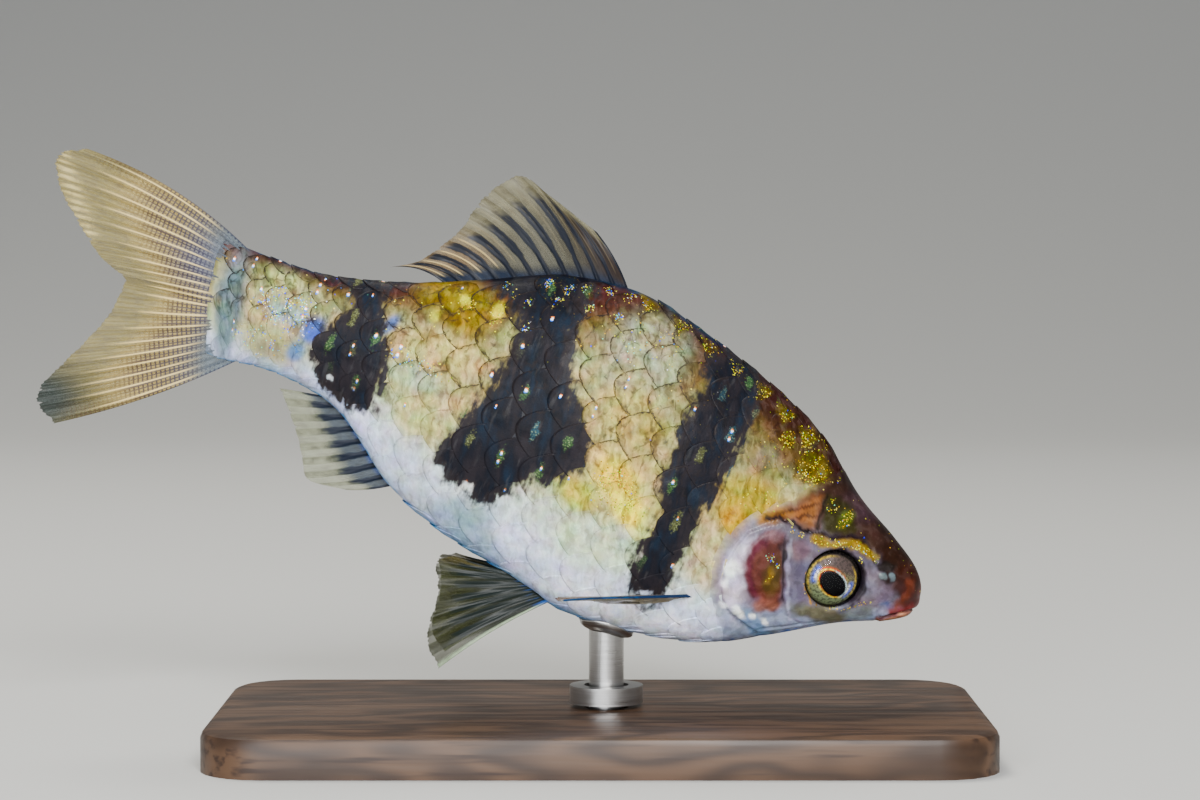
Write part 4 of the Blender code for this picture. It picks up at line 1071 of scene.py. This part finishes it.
SCALE_MATERIAL = scale_material()
PLACES = plate_places()
make_plates("scales_right", PLACES[:, 0], PLACES[:, 1], side=-1, seed=11)
make_plates("scales_left", PLACES[:, 0], PLACES[:, 1], side=1, seed=12)
back_row = np.concatenate((np.arange(9.6, 23.6, 2.1), np.arange(38.2, 46.5, 1.5)))
belly_parts = (np.arange(13.0, 21.0, 2.1), np.arange(26.0, 32.6, 2.1), np.arange(41.0, 46.0, 1.5))
belly_row = np.concatenate(belly_parts)
make_plates("scales_back_ridge", back_row, 0 * back_row, ridge_way=1, seed=13)
make_plates("scales_belly_line", belly_row, 0 * belly_row, ridge_way=-1, seed=14)

# Eyes
# Each eye is a flattened ball: a metallic iris round a black tilted pupil, sealed under a clear dome, and
# set in its socket from outside.
EYE_RADIUS = 1.85
EYE_HALF_DEPTH = 1.05
IRIS_SUNK = 0.1
IRIS_DISH = 0.13
PUPIL_CENTRE = (0.02, -0.16)
PUPIL_RADII = (0.93, 0.66)
PUPIL_TILT = -24
LENS_BULGE = 0.1
IRIS_EDGE = 1.6
EYE_RINGS = 70
EYE_SEGMENTS = 128
IRIS_OFFSET = (-0.1, -0.05)


def eye_points(radius, height, turn, side):
    """From a distance from the eye's axis, a height out of the head and a turn, to the fish's frame."""
    centre, out, ahead, up = eye_axis()
    across, rise = radius * np.cos(turn), radius * np.sin(turn)
    points = centre + across[..., None] * ahead + rise[..., None] * up + height[..., None] * out
    points[..., 1] *= -side
    return points, across, rise


def apart(turn, way):
    """How many degrees lie between two ways."""
    return np.abs((turn - way + 180) % 360 - 180)


def iris_paint(across, rise):
    """Colours of the iris, and where its pupil is."""
    across, rise = across - IRIS_OFFSET[0], rise - IRIS_OFFSET[1]
    radius = np.hypot(across, rise)
    tilt = math.radians(PUPIL_TILT)
    dx, dz = across - PUPIL_CENTRE[0], rise - PUPIL_CENTRE[1]
    long_way = (dx * math.cos(tilt) + dz * math.sin(tilt)) / PUPIL_RADII[0]
    short_way = (dz * math.cos(tilt) - dx * math.sin(tilt)) / PUPIL_RADII[1]
    from_pupil = np.hypot(long_way, short_way)
    turn = np.degrees(np.arctan2(rise, across))
    upper, lower = fade(rise, 0.1, 0.9), fade(-rise, 0.3, 1.1)
    paint = lay("888864", "584e4c", upper)
    paint = lay(paint, "7c866c", lower)
    paint = lay(paint, "94641c", 0.7 * fade(from_pupil, 1.5, 1.25) * upper)
    arcs = np.maximum(fade(apart(turn, 165), 75, 40), fade(apart(turn, 15), 45, 20))
    arcs = arcs * (0.75 + 0.25 * np.sin(23 * np.radians(turn)))
    paint = lay(paint, "f0d020", hump(radius, 1.5, 0.045) * arcs)
    for way in (180, -12):
        gap = apart(turn, way)
        paint = lay(paint, "2468d8", 0.95 * hump(radius, 1.2, 0.16) * fade(gap, 34, 18))
        paint = lay(paint, "ffffff", 1.2 * hump(radius, 1.12, 0.08) * fade(gap, 24, 10))
    above = fade(dx + 0.6 * dz, 0.1, 0.6)
    paint = lay(paint, "ffe23c", 1.2 * hump(from_pupil, 1.13, 0.06))
    paint = lay(paint, "d6f0ff", 1.2 * hump(from_pupil, 1.11, 0.06) * above)
    paint = lay(paint, "e04a14", 0.95 * hump(from_pupil, 1.24, 0.04) * fade(rise, 0.2, 0.6))
    paint = lay(paint, "d03a10", 0.9 * hump(from_pupil, 1.04, 0.035) * (1 - above))
    edge = fade(radius, IRIS_EDGE - 0.05, IRIS_EDGE + 0.05)
    paint = lay(paint, "4c4838", edge)
    # painted shadow: the rim goes near black over the top and front, where the socket shades the eye
    paint = lay(paint, "0c090c", edge * fade(apart(turn, 45), 150, 90))
    inner = fade(from_pupil, 1.05, 0.99)
    return lay(paint, "000001", inner), inner


def iris_material():
    """Foil painted with fine radial mottling, under gloss; the pupil is left plain black."""
    made, tree, shader = new_material("iris_foil", Coat_Weight=0.0, Specular_IOR_Level=0.1)
    place, pupil, paint = facts(tree, "iris", "pupil", "paint")
    mottle, plain = noise(place, 0.16, 6.0), 1 - pupil
    shaded = blend(step(mottle, 0.44, 0.62) * 0.75, paint, (0.03, 0.025, 0.02, 1))
    plug(shader, {"Base Color": blend(pupil, shaded, (0.0004, 0.0005, 0.001, 1)), "Metallic": plain * 0.2,
                  "Roughness": mottle * 0.3 + 0.25, "Normal": bump(mottle * plain, 0.00004, 0.4)})
    return made


def cornea_material():
    """A clear dome: see-through, with a hard gloss that grows towards its edge."""
    made, tree, _ = new_material("clear_dome")
    tree.nodes.remove(tree.nodes["Principled BSDF"])
    gloss = put(tree, "BsdfGlossy", {"Roughness": 0.02, "Color": (1, 1, 1, 1)})
    clear = put(tree, "BsdfTransparent", {"Color": (1, 1, 1, 1)})
    both = put(tree, "MixShader", {0: put(tree, "Fresnel", {"IOR": 1.12}), 1: clear, 2: gloss})
    plug(tree.nodes["Material Output"].inputs, {"Surface": both})
    return made


IRIS_MATERIAL = iris_material()
CORNEA_MATERIAL = cornea_material()


def make_eye(name, side):
    tilt, turn = np.linspace(0, np.pi, EYE_RINGS), np.linspace(0, 2 * np.pi, EYE_SEGMENTS, endpoint=False)
    tilt, turn = np.broadcast_arrays(tilt[:, None], turn[None, :])
    radius, dome = (EYE_RADIUS - 0.05) * np.sin(tilt), EYE_HALF_DEPTH * np.cos(tilt)
    front = fade(np.cos(tilt), 0.0, 0.25)
    sunk = IRIS_SUNK + IRIS_DISH * (1 - (radius / EYE_RADIUS) ** 2)
    _, across, rise = eye_points(radius, dome, turn, side)
    paint, inner = iris_paint(across, rise)
    paint = np.where(front[..., None] > 0.01, paint, colour("16120f"))
    points, _, _ = eye_points(radius, dome - front * (sunk - LENS_BULGE * inner), turn, side)
    faces = [face[::-side] for face in turned_over(lattice(EYE_RINGS, EYE_SEGMENTS, closed=True))]
    iris_of = np.stack((across, rise, 0 * rise), axis=-1)
    eye = new_piece(name, to_frame(points), faces, {"paint": paint, "iris": iris_of, "pupil": inner})
    eye.data.materials.append(IRIS_MATERIAL)
    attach(eye, "root")
    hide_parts(name)
    points, _, _ = eye_points(EYE_RADIUS * np.sin(tilt), dome, turn, side)
    cornea = new_piece(name + "_dome", to_frame(points), faces)
    cornea.data.materials.append(CORNEA_MATERIAL)
    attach(cornea, "root")


make_eye("eye_right", -1)
make_eye("eye_left", 1)

# Fins
# Clear film over bony rays that fork twice and are jointed all along. Each fin is cast flat with its rays,
# bent to shape while warm, and glued by its root into a slot of the body.
RAY_COLUMNS = 14
FIN_STEPS = 96
FIN_ROOT_SUNK = 0.5
FILM_HALF = 0.04
RAY_HALF = 0.075
TIP_NOTCH = 0.007
FORK_NOTCH = 0.008
# Forks begin and end at these shares of the length, with this share of the ray spacing between their branches
FIRST_FORK = (0.22, 0.45, 0.24)
SECOND_FORK = (0.6, 0.85, 0.115)
JOINT_LENGTH = 0.29
CELL_WIDTH = 0.23  # of the pale cells between the dark ray branches of the tail fin
DORSAL_RAYS = 12
DORSAL_BASE = (23.9, 34.6)
DORSAL_TIPS = [(-27.3, 13.1), (-31.0, 14.15), (-33.0, 14.6), (-34.3, 13.2), (-34.9, 11.7), (-35.2, 10.2),
               (-36.0, 8.6), (-37.0, 7.2), (-38.4, 6.25)]
ANAL_RAYS = 9
ANAL_BASE = (33.0, 38.7)
ANAL_TIPS = [(-35.8, -7.7), (-38.2, -8.0), (-39.1, -6.9), (-39.9, -5.7), (-40.9, -4.5), (-42.0, -3.35)]
TAIL_RAYS = 20
TAIL_TIPS = [(-58.6, 6.05), (-60.1, 5.0), (-59.4, 3.4), (-57.9, 2.05), (-56.3, 0.75), (-54.9, 0.0),
             (-53.5, -0.5), (-53.3, -0.95), (-53.5, -2.9), (-54.2, -5.0), (-55.1, -7.0), (-55.8, -8.7),
             (-55.5, -9.9), (-54.2, -10.6)]
TAIL_ROOTS = (3.8, -2.8)
PELVIC_RAYS = 9
PELVIC_BASE = (21.2, 23.9)
PELVIC_BASE_Y = 1.15
PELVIC_TIPS = [(-26.3, -15.4), (-27.5, -14.4), (-27.9, -13.1), (-28.0, -11.8), (-28.4, -10.6), (-28.9, -9.6),
               (-28.0, -8.9)]
PELVIC_SPLAY = 0.42
PECTORAL_RAYS = 10
PECTORAL_BASE = [(-12.9, -5.4), (-14.0, -6.1)]
PECTORAL_TIPS = [(-20.7, 8.1, -8.4), (-21.2, 7.3, -8.55), (-20.8, 6.6, -8.45), (-19.8, 6.0, -8.2),
                 (-18.6, 5.5, -7.9), (-17.2, 5.1, -7.5)]


def columns_of(rays):
    return (rays - 1) * RAY_COLUMNS + 1


def from_ray(ray, reach, spread):
    """How far each place is from the nearest fork of a ray, as a share of the ray spacing."""
    off = np.abs((ray + 0.5) % 1 - 0.5)
    for begins, ends, apart in (FIRST_FORK, SECOND_FORK):
        off = np.abs(off - apart * spread * fade(reach, begins, ends))
    return off


def both_sides(faces, count):
    """The faces of one side of a sheet, and of its other side, whose points follow the first side's."""
    return faces + [tuple(count + point for point in face[::-1]) for face in faces]


def sheet_faces(columns, rows):
    """Faces of a closed sheet: its near side, its far side and the rim between them."""
    count, rim = columns * rows, border(columns, rows)
    wall = [(here, after, count + after, count + here) for here, after in zip(rim, [*rim[1:], rim[0]])]
    return both_sides(turned_over(lattice(columns, rows)), count) + wall


def from_half(value):
    """How far a changing value is from halfway between two whole numbers."""
    return abs(value.maths("FRACT") - 0.5)


def fin_material():
    """Film and rays in one: the film is nearly clear, the rays are dark streaks, or a dark grid of joints
    and branches round small pale cells, with smooth cream strips between one ray and the next."""
    gloss = {"Coat_Weight": 0.04, "Coat_Roughness": 0.2, "Specular_IOR_Level": 0.12}
    made, tree, shader = new_material("fin_film", **gloss)
    ray, reach, length, pitch = facts(tree, "ray", "reach", "length", "pitch")
    width, spread, grid, cream = facts(tree, "width", "spread", "grid", "cream")
    darkness, alpha, film, dark_paint = facts(tree, "dark", "alpha", "paint", "paint_dark")
    off = middle = from_half(ray + 0.5)
    for begins, ends, apart_by in (FIRST_FORK, SECOND_FORK):
        off = abs(off - step(reach, begins, ends) * spread * apart_by)
    grain = noise(join(ray * 9.0, length * 0.7), 1.0, 4.0)
    blot = noise(join(ray * 3.0, length * 2.0), 1.0, 4.0)
    away = off * pitch + (grain - 0.5) * 0.12 + (blot - 0.5) * 0.2
    on_ray = step(away / (width * (1 - reach * 0.4)), 1.15, 0.6)
    from_gap = (0.5 - middle) * pitch
    beat, row = from_half(length / JOINT_LENGTH), from_half(middle * pitch / CELL_WIDTH)
    cell = step(beat, 0.4, 0.24) * step(row, 0.42, 0.24)
    netted = (1 - cell) * step(from_gap, 0.04, 0.1)
    streaked = on_ray * step((blot - 0.5) * 0.9 + darkness, -0.05, 0.9)
    dark = blend(grid, streaked, netted * darkness)
    strip = step(from_gap, 0.1, 0.03) * cream
    dusk = film * (0.5, 0.46, 0.42)
    shade = blend(step(grain, 0.42, 0.7) * 0.7, film, dusk)
    shade = blend(step(blot, 0.48, 0.62) * 0.5, shade, dusk)
    painted = blend(on_ray * 0.4, shade, dusk)
    painted = blend(strip, painted, (0.8, 0.6, 0.25, 1))
    solid = alpha + on_ray * 0.15 + dark * 0.5 + strip * 0.3 + grain * 0.12
    plug(shader, {"Base Color": blend(dark, painted, dark_paint), "Alpha": solid.maths("MINIMUM", 0.97),
                  "Roughness": grain * 0.25 + 0.3, "Normal": bump(cell * grid + grain * 0.7, 0.00003, 0.5)})
    return made


FIN_MATERIAL = fin_material()


def make_fin(name, replaced, roots, tips, bows, normal, look, sway, ripple, seed, rays):
    """One fin from the roots and tips of its columns. A bow is a share of the length, in the plane of the
    fin; sway bends the whole fin along its normal and ripple waves it. Rays are their width and how
    widely they fork."""
    chance = np.random.default_rng(seed)
    columns = len(roots)
    spaces = columns // RAY_COLUMNS
    ray = (np.arange(columns) / RAY_COLUMNS)[:, None]
    space = np.minimum(ray.astype(int), spaces - 1)
    tears = 0.045 * chance.random(spaces) ** 2.5
    places = 0.3 + 0.4 * chance.random(spaces)
    notch = TIP_NOTCH * (0.5 - 0.5 * np.cos(2 * np.pi * ray))
    notch += FORK_NOTCH * (0.5 - 0.5 * np.cos(8 * np.pi * ray))
    notch += tears[space] * hump(ray - space, places[space], 0.06)
    notch += 0.006 * chance.random((columns, 1))
    reach = np.linspace(0, 1, FIN_STEPS)[None, :] * (1 - notch)
    span = tips - roots
    length = np.linalg.norm(span, axis=-1)[:, None]
    bowed = np.cross(normal, span)[:, None] * (4 * reach * (1 - reach) * bows[:, None])[..., None]
    middle = roots[:, None] + span[:, None] * reach[..., None] + bowed
    waves = np.sin(2 * np.pi * (0.31 * ray + 0.9 * reach) + 6 * chance.random())
    waves += 0.5 * np.cos(2 * np.pi * ray)
    middle += normal * (sway * reach**2 + ripple * reach * waves)[..., None]
    pitch = np.linalg.norm(np.gradient(middle, axis=0), axis=-1) * RAY_COLUMNS
    width, spread = rays
    ridge = hump(from_ray(ray, reach, spread) * pitch, 0.0, 0.7 * width)
    half = FILM_HALF * (1 - 0.4 * reach) + RAY_HALF * (1 - 0.7 * reach) * ridge
    points = np.stack((middle + normal * half[..., None], middle - normal * half[..., None]))
    facts_of_fin = {"ray": ray, "reach": reach, "length": reach * length, "pitch": pitch, "width": width,
                    "spread": spread, "grid": 0.0, "cream": 0.0}
    facts_of_fin |= look(ray, reach, middle[..., 0], middle[..., 2])
    for fact, values in facts_of_fin.items():
        shape = (2, *reach.shape, 3) if fact.startswith("paint") else (2, *reach.shape)
        facts_of_fin[fact] = np.broadcast_to(values, shape)
    faces = sheet_faces(columns, FIN_STEPS)
    corner = middle[columns // 2, 40]
    out = np.cross(middle[columns // 2 + 1, 40] - corner, middle[columns // 2, 41] - corner)
    if out @ normal < 0:
        faces = [face[::-1] for face in faces]
    fin = new_piece(name, to_frame(points), faces, facts_of_fin)
    fin.data.materials.append(FIN_MATERIAL)
    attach(fin, "root")
    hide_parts(*replaced)


def tail_look(ray, reach, x, z):
    paint = lay("78828a", "d4c08c", fade(reach, 0.14, 0.42))
    paint = lay(paint, "a89c6c", fade(reach, 0.56, 0.8))
    tip = dab(x, z, (-56.2, -9.8), (7.6, 4.6), 25, 0.9)
    paint = lay(paint, "3a4446", 0.95 * tip)
    paint = lay(paint, "7f86a0", 0.7 * spot(x, z, (-49.6, 2.0), (2.6, 2.6)))
    # painted highlight: a pale band along a fold of the upper lobe that the sheet's shape does not have; the
    # film is also more solid there
    fold = stroke(x, z, [(-60.2, 5.6), (-58.6, 3.6), (-56.5, 1.3)], 1.9)
    fold = fold * (0.5 + 0.5 * np.sin(2 * np.pi * 2.5 * ray))
    inner = fade(reach, 0.12, 0.28) * (1 - fade(reach, 0.5, 0.72))
    edges = 1 - fade(np.minimum(ray, TAIL_RAYS - 1 - ray), 0.0, 1.6)
    return {
        "paint": lay(paint, "fff0c0", fold),
        "paint_dark": lay("3a3848", "544640", fade(reach, 0.3, 0.7)),
        "alpha": 0.71 - 0.14 * fade(reach, 0.5, 0.9) - 0.25 * fade(reach, 0.0, 0.12)
        + 0.3 * fold + 0.35 * tip,
        "dark": np.maximum(0.9 * inner, 0.75 * edges * (1 - fade(reach, 0.8, 0.98))),
        "grid": 1.0,
        "cream": fade(reach, 0.16, 0.34) * (1 - fade(reach, 0.6, 0.9)) * (1 - 0.8 * tip),
    }


def dorsal_look(ray, reach, x, z):
    rear, front = fade(ray, 6.0, 8.5), 1 - fade(ray, 1.0, 4.6)
    base = 1 - fade(reach, 0.05 + 0.14 * rear, 0.2 + 0.2 * rear)
    paint = lay("5c5a4c", "8c8872", fade(reach, 0.4, 0.9))
    paint = lay(paint, "241a18", front * 0.95 * (1 - fade(reach, 0.62, 0.95)))
    paint = lay(paint, "8c7050", 0.6 * rear * fade(reach, 0.2, 0.5))
    return {
        "paint": lay(paint, "141e30", base),
        "paint_dark": lay("0c111c", "202228", fade(reach, 0.3, 0.8)),
        "alpha": 0.52 + 0.42 * front * (1 - fade(reach, 0.7, 1.0)) + 0.4 * base
        - 0.12 * fade(reach, 0.6, 1.0),
        "dark": np.maximum(1 - fade(reach, 0.6 + 0.25 * rear, 0.95 + 0.1 * rear), 1 - fade(ray, 0.3, 0.7)),
        "cream": (0.05 + 0.55 * rear) * fade(reach, 0.2, 0.35) * (1 - fade(reach, 0.85, 1.0)),
    }


def anal_look(ray, reach, x, z):
    base = 1 - fade(reach, 0.34, 0.62)
    paint = lay("a8ac94", "3c4656", 0.9 * base)
    return {
        "paint": lay(paint, "2a62a8", 0.9 * (1 - fade(reach, 0.05, 0.16))),
        "paint_dark": colour("141a26"),
        "alpha": 0.3 + 0.38 * base,
        "dark": 1 - 0.88 * fade(reach, 0.3, 0.75),
    }


def pelvic_look(ray, reach, x, z):
    last = PELVIC_RAYS - 1
    base = 1 - fade(reach, 0.35, 0.9)
    paint = lay("3e402c", "161c14", 0.95 * base)
    paint = lay(paint, "c4d4bc", 1 - fade(ray, 0.15, 0.4))
    paint = lay(paint, "6c6448", 0.7 * fade(ray, last - 1.6, last - 0.4) * fade(reach, 0.2, 0.5))
    return {
        "paint": lay(paint, "2a68ac", 0.9 * (1 - fade(reach, 0.06, 0.2))),
        "paint_dark": colour("1a201e"),
        "alpha": 0.44 + 0.42 * base + 0.3 * (1 - fade(ray, 0.1, 0.4)),
        "dark": (1 - 0.85 * fade(reach, 0.6, 0.95)) * fade(ray, 0.1, 0.9),
    }


def pectoral_look(ray, reach, x, z):
    edge = 1 - fade(ray, 0.2, 0.7)
    paint = lay("b8b4a8", "30557f", edge)
    return {
        "paint": lay(paint, "8a6048", 0.8 * fade(ray, 0.8, 1.4) * (1 - fade(ray, 2.4, 3.0))),
        "paint_dark": colour("22304a"),
        "alpha": 0.32 + 0.5 * edge,
        "dark": 0.3 + 0.6 * edge * (1 - fade(reach, 0.7, 1.0)),
        "cream": 0.25,
    }


def in_plane(outline, columns):
    """Points along a smooth line of the side view, on the fish's midline."""
    x, z = line(outline, columns).T
    return np.stack((x, 0 * x, z), axis=-1)


def make_midline_fins():
    out = np.array((0.0, 1.0, 0.0))
    count = columns_of(DORSAL_RAYS)
    x = np.linspace(*DORSAL_BASE, count)
    roots = np.stack((-x, 0 * x, smooth(BACK, x) - FIN_ROOT_SUNK), axis=-1)
    bows = np.linspace(0.05, 0.12, count)
    tips = in_plane(DORSAL_TIPS, count)
    make_fin("dorsal", ["dorsal_fin"], roots, tips, bows, out, dorsal_look, 0.0, 0.16, 21, (0.2, 0.45))
    count = columns_of(ANAL_RAYS)
    x = np.linspace(*ANAL_BASE, count)
    roots = np.stack((-x, 0 * x, smooth(BELLY, x) + FIN_ROOT_SUNK), axis=-1)
    bows = np.linspace(-0.04, 0.0, count)
    tips = in_plane(ANAL_TIPS, count)
    make_fin("anal", ["anal_fin"], roots, tips, bows, out, anal_look, 0.0, 0.12, 22, (0.24, 0.35))
    count = columns_of(TAIL_RAYS)
    ends, heights = np.array(TAIL_END).T
    z = np.linspace(*TAIL_ROOTS, count)
    roots = np.stack((np.interp(z, heights[::-1], ends[::-1]) + FIN_ROOT_SUNK, 0 * z, z), axis=-1)
    bows = np.interp(np.linspace(-1, 1, count), (-1, 0, 1), (0.06, 0.0, -0.03))
    tails = ["caudal_fin_upper", "caudal_fin_lower"]
    make_fin("tail", tails, roots, in_plane(TAIL_TIPS, count), bows, out, tail_look, -1.0, 0.2, 23,
             (0.1, 1.0))


def make_paired_fins(label, side):
    count = columns_of(PELVIC_RAYS)
    x = np.linspace(*PELVIC_BASE, count)
    angle = math.pi - np.arcsin((PELVIC_BASE_Y / smooth(HALF_WIDTH, x)) ** (1 / BELLY_FULLNESS))
    roots = body(x, angle) - body_normal(x, angle) * FIN_ROOT_SUNK
    tips = in_plane(PELVIC_TIPS, count)
    tips[:, 1] = roots[:, 1] + (roots[:, 2] - tips[:, 2]) * PELVIC_SPLAY
    normal = unit(np.array((0.0, 1.0, PELVIC_SPLAY)))
    mirror = np.array((1.0, side, 1.0))
    bows = np.linspace(0.03, -0.02, count)
    make_fin(f"pelvic_{label}", [f"pelvic_fin_{label}"], roots * mirror, tips * mirror, bows,
             normal * mirror * side, pelvic_look, 0.0, 0.12, 24, (0.2, 0.5))
    count = columns_of(PECTORAL_RAYS)
    x, z = np.linspace(PECTORAL_BASE[0], PECTORAL_BASE[1], count).T
    angle = flank_angle(-x, z)
    roots = (body(-x, angle) - body_normal(-x, angle) * FIN_ROOT_SUNK) * mirror
    tips = line(PECTORAL_TIPS, count) * mirror
    normal = unit(np.cross(tips[0] - roots[0], tips[-1] - roots[0])) * side
    bows = np.linspace(-0.03 * side, 0.0, count)
    make_fin(f"pectoral_{label}", [f"pectoral_fin_{label}"], roots, tips, bows, normal, pectoral_look,
             0.25, 0.06, 25, (0.1, 0.6))


make_midline_fins()
make_paired_fins("left", 1)
make_paired_fins("right", -1)

# Stand
# An oiled walnut block with a turned steel rod let into it through a collar; a small steel saddle on the
# rod's end is glued to the belly.
SADDLE_RADIUS = 1.7
SADDLE_THICKNESS = 0.45
ROD_X = 0.4
SHARP_TURN = math.radians(35)  # edges that turn less are blended by the finish
WELD = 0.001 * MM  # corners nearer than this are one


def wood_material():
    """Walnut: long dark growth lines, fine pores along them, under oil."""
    made, tree, shader = new_material("walnut", Coat_Weight=0.08, Coat_Roughness=0.35, Specular_IOR_Level=0.3)
    place = put(tree, "TexCoord", output="Object")
    lines = (noise(place * (40.0, 120.0, 120.0), 1.0) * 55.0).maths("SINE") * 0.5 + 0.5
    pores = noise(place * (60.0, 900.0, 900.0), 0.5, 2.0)
    wood = blend(lines, (0.035, 0.018, 0.01, 1), (0.085, 0.045, 0.024, 1))
    plug(shader, {"Base Color": blend(step(pores, 0.52, 0.7), wood, (0.03, 0.015, 0.009, 1)),
                  "Roughness": pores * 0.3 + 0.3, "Normal": bump(pores, 0.00004, 0.35)})
    return made


def steel_material():
    """Steel left as it came off the lathe: fine rings round the rod."""
    made, tree, shader = new_material("turned_steel", Metallic=1.0)
    marks = noise(put(tree, "TexCoord", output="Object") * (300.0, 300.0, 14000.0), 1.0, 2.0)
    plug(shader, {"Base Color": blend(marks, (0.36, 0.35, 0.34, 1), (0.56, 0.55, 0.54, 1)),
                  "Roughness": marks * 0.25 + 0.2, "Normal": bump(marks, 0.00002, 0.3)})
    return made


STEEL_MATERIAL = steel_material()
WOOD_MATERIAL = wood_material()


def make_stand_piece(name, solid, made):
    """One of the stand's parts, of the solid's shape with its round sides blended."""
    shape = bmesh.new()
    shape.from_mesh(bpy.data.objects[solid].data)
    bmesh.ops.remove_doubles(shape, verts=shape.verts, dist=WELD)
    shape.verts.index_update()
    corners = np.array([corner.co for corner in shape.verts])
    faces = [[corner.index for corner in face.verts] for face in shape.faces]
    shape.free()
    piece = new_piece(name, corners, faces)
    piece.matrix_world = bpy.data.objects[solid].matrix_world
    piece.data.set_sharp_from_angle(angle=SHARP_TURN)
    piece.data.materials.append(made)
    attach(piece, "root")
    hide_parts(solid)


make_stand_piece("stand_block", "stand_base", WOOD_MATERIAL)
make_stand_piece("stand_post", "stand_rod", STEEL_MATERIAL)
make_stand_piece("stand_ring", "stand_collar", STEEL_MATERIAL)


def make_saddle():
    stations = np.linspace(14, 26, 241)[:, None]
    angle = np.linspace(0.7 * np.pi, 1.3 * np.pi, 181)[None, :]
    under = to_frame(body(stations, angle)).reshape(-1, 3) / MM
    rings, sides = 13, 48
    radius = SADDLE_RADIUS * np.sqrt(np.linspace(0, 1, rings))[:, None]
    turn = np.linspace(0, 2 * np.pi, sides, endpoint=False)[None, :]
    x, y = ROD_X + radius * np.cos(turn), radius * np.sin(turn)
    gaps = (x.reshape(-1, 1) - under[:, 0]) ** 2 + (y.reshape(-1, 1) - under[:, 1]) ** 2
    seat = under[gaps.argmin(axis=1), 2].reshape(x.shape)
    drop = SADDLE_THICKNESS * np.sqrt(np.clip(1 - (radius / SADDLE_RADIUS) ** 4, 0, 1)) + 0.05
    points = np.stack((np.stack((x, y, seat + 0.12), axis=-1), np.stack((x, y, seat - drop), axis=-1)))
    faces = both_sides(turned_over(lattice(rings, sides, closed=True)), rings * sides)
    edge, low_edge = (rings - 1) * sides, (2 * rings - 1) * sides
    for k in range(sides):
        after = (k + 1) % sides
        faces.append((edge + after, edge + k, low_edge + k, low_edge + after))
    saddle = new_piece("stand_saddle", points * MM, faces)
    saddle.data.materials.append(STEEL_MATERIAL)
    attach(saddle, "root")


make_saddle()

# Stage and light
# A pale seamless sweep, one broad soft lamp over the near side, and weaker ones that fill the shadows and
# shine through the fins from behind.
SWEEP_HALF_WIDTH = 1.6
SWEEP_START = -1.2
SWEEP_TURN = 0.3
SWEEP_RADIUS = 0.6
SWEEP_HEIGHT = 1.4
bend = np.linspace(0, np.pi / 2, 40)
curve = zip(SWEEP_TURN + SWEEP_RADIUS * np.sin(bend), SWEEP_RADIUS * (1 - np.cos(bend)))
sweep = [(SWEEP_START, 0.0), *curve]
sweep.append((SWEEP_TURN + SWEEP_RADIUS, SWEEP_HEIGHT))
edges = np.array([(side * SWEEP_HALF_WIDTH, y, z) for y, z in sweep for side in (-1, 1)])
faces = [(2 * k, 2 * k + 1, 2 * k + 3, 2 * k + 2) for k in range(len(sweep) - 1)]
floor = new_piece("floor", edges, faces)
FLOOR_MATERIAL = new_material("floor_paper", Base_Color=(0.55, 0.55, 0.53, 1), Roughness=0.85)[0]
floor.data.materials.append(FLOOR_MATERIAL)


def lamp(name, place, power, size, tint=(1, 1, 1)):
    light = bpy.data.lights.new(name, "AREA")
    light.energy = power
    light.size = size
    light.color = tint
    holder = bpy.data.objects.new(name, light)
    bpy.context.collection.objects.link(holder)
    holder.location = place
    holder.rotation_euler = (AIM - holder.location).to_track_quat("-Z", "Y").to_euler()


lamp("key", Vector((0.06, -0.36, 0.22)), 2.3, 0.12)
lamp("fill", Vector((-0.12, -0.4, 0.035)), 2.5, 0.3, (0.92, 0.96, 1))
lamp("back", Vector((-0.1, 0.12, 0.4)), 1.8, 0.2, (1, 0.97, 0.9))
sky = bpy.data.worlds.new("studio")
sky.use_nodes = True
sky.node_tree.nodes["Background"].inputs[0].default_value = (0.85, 0.88, 0.92, 1)
sky.node_tree.nodes["Background"].inputs[1].default_value = 0.25
bpy.context.scene.world = sky
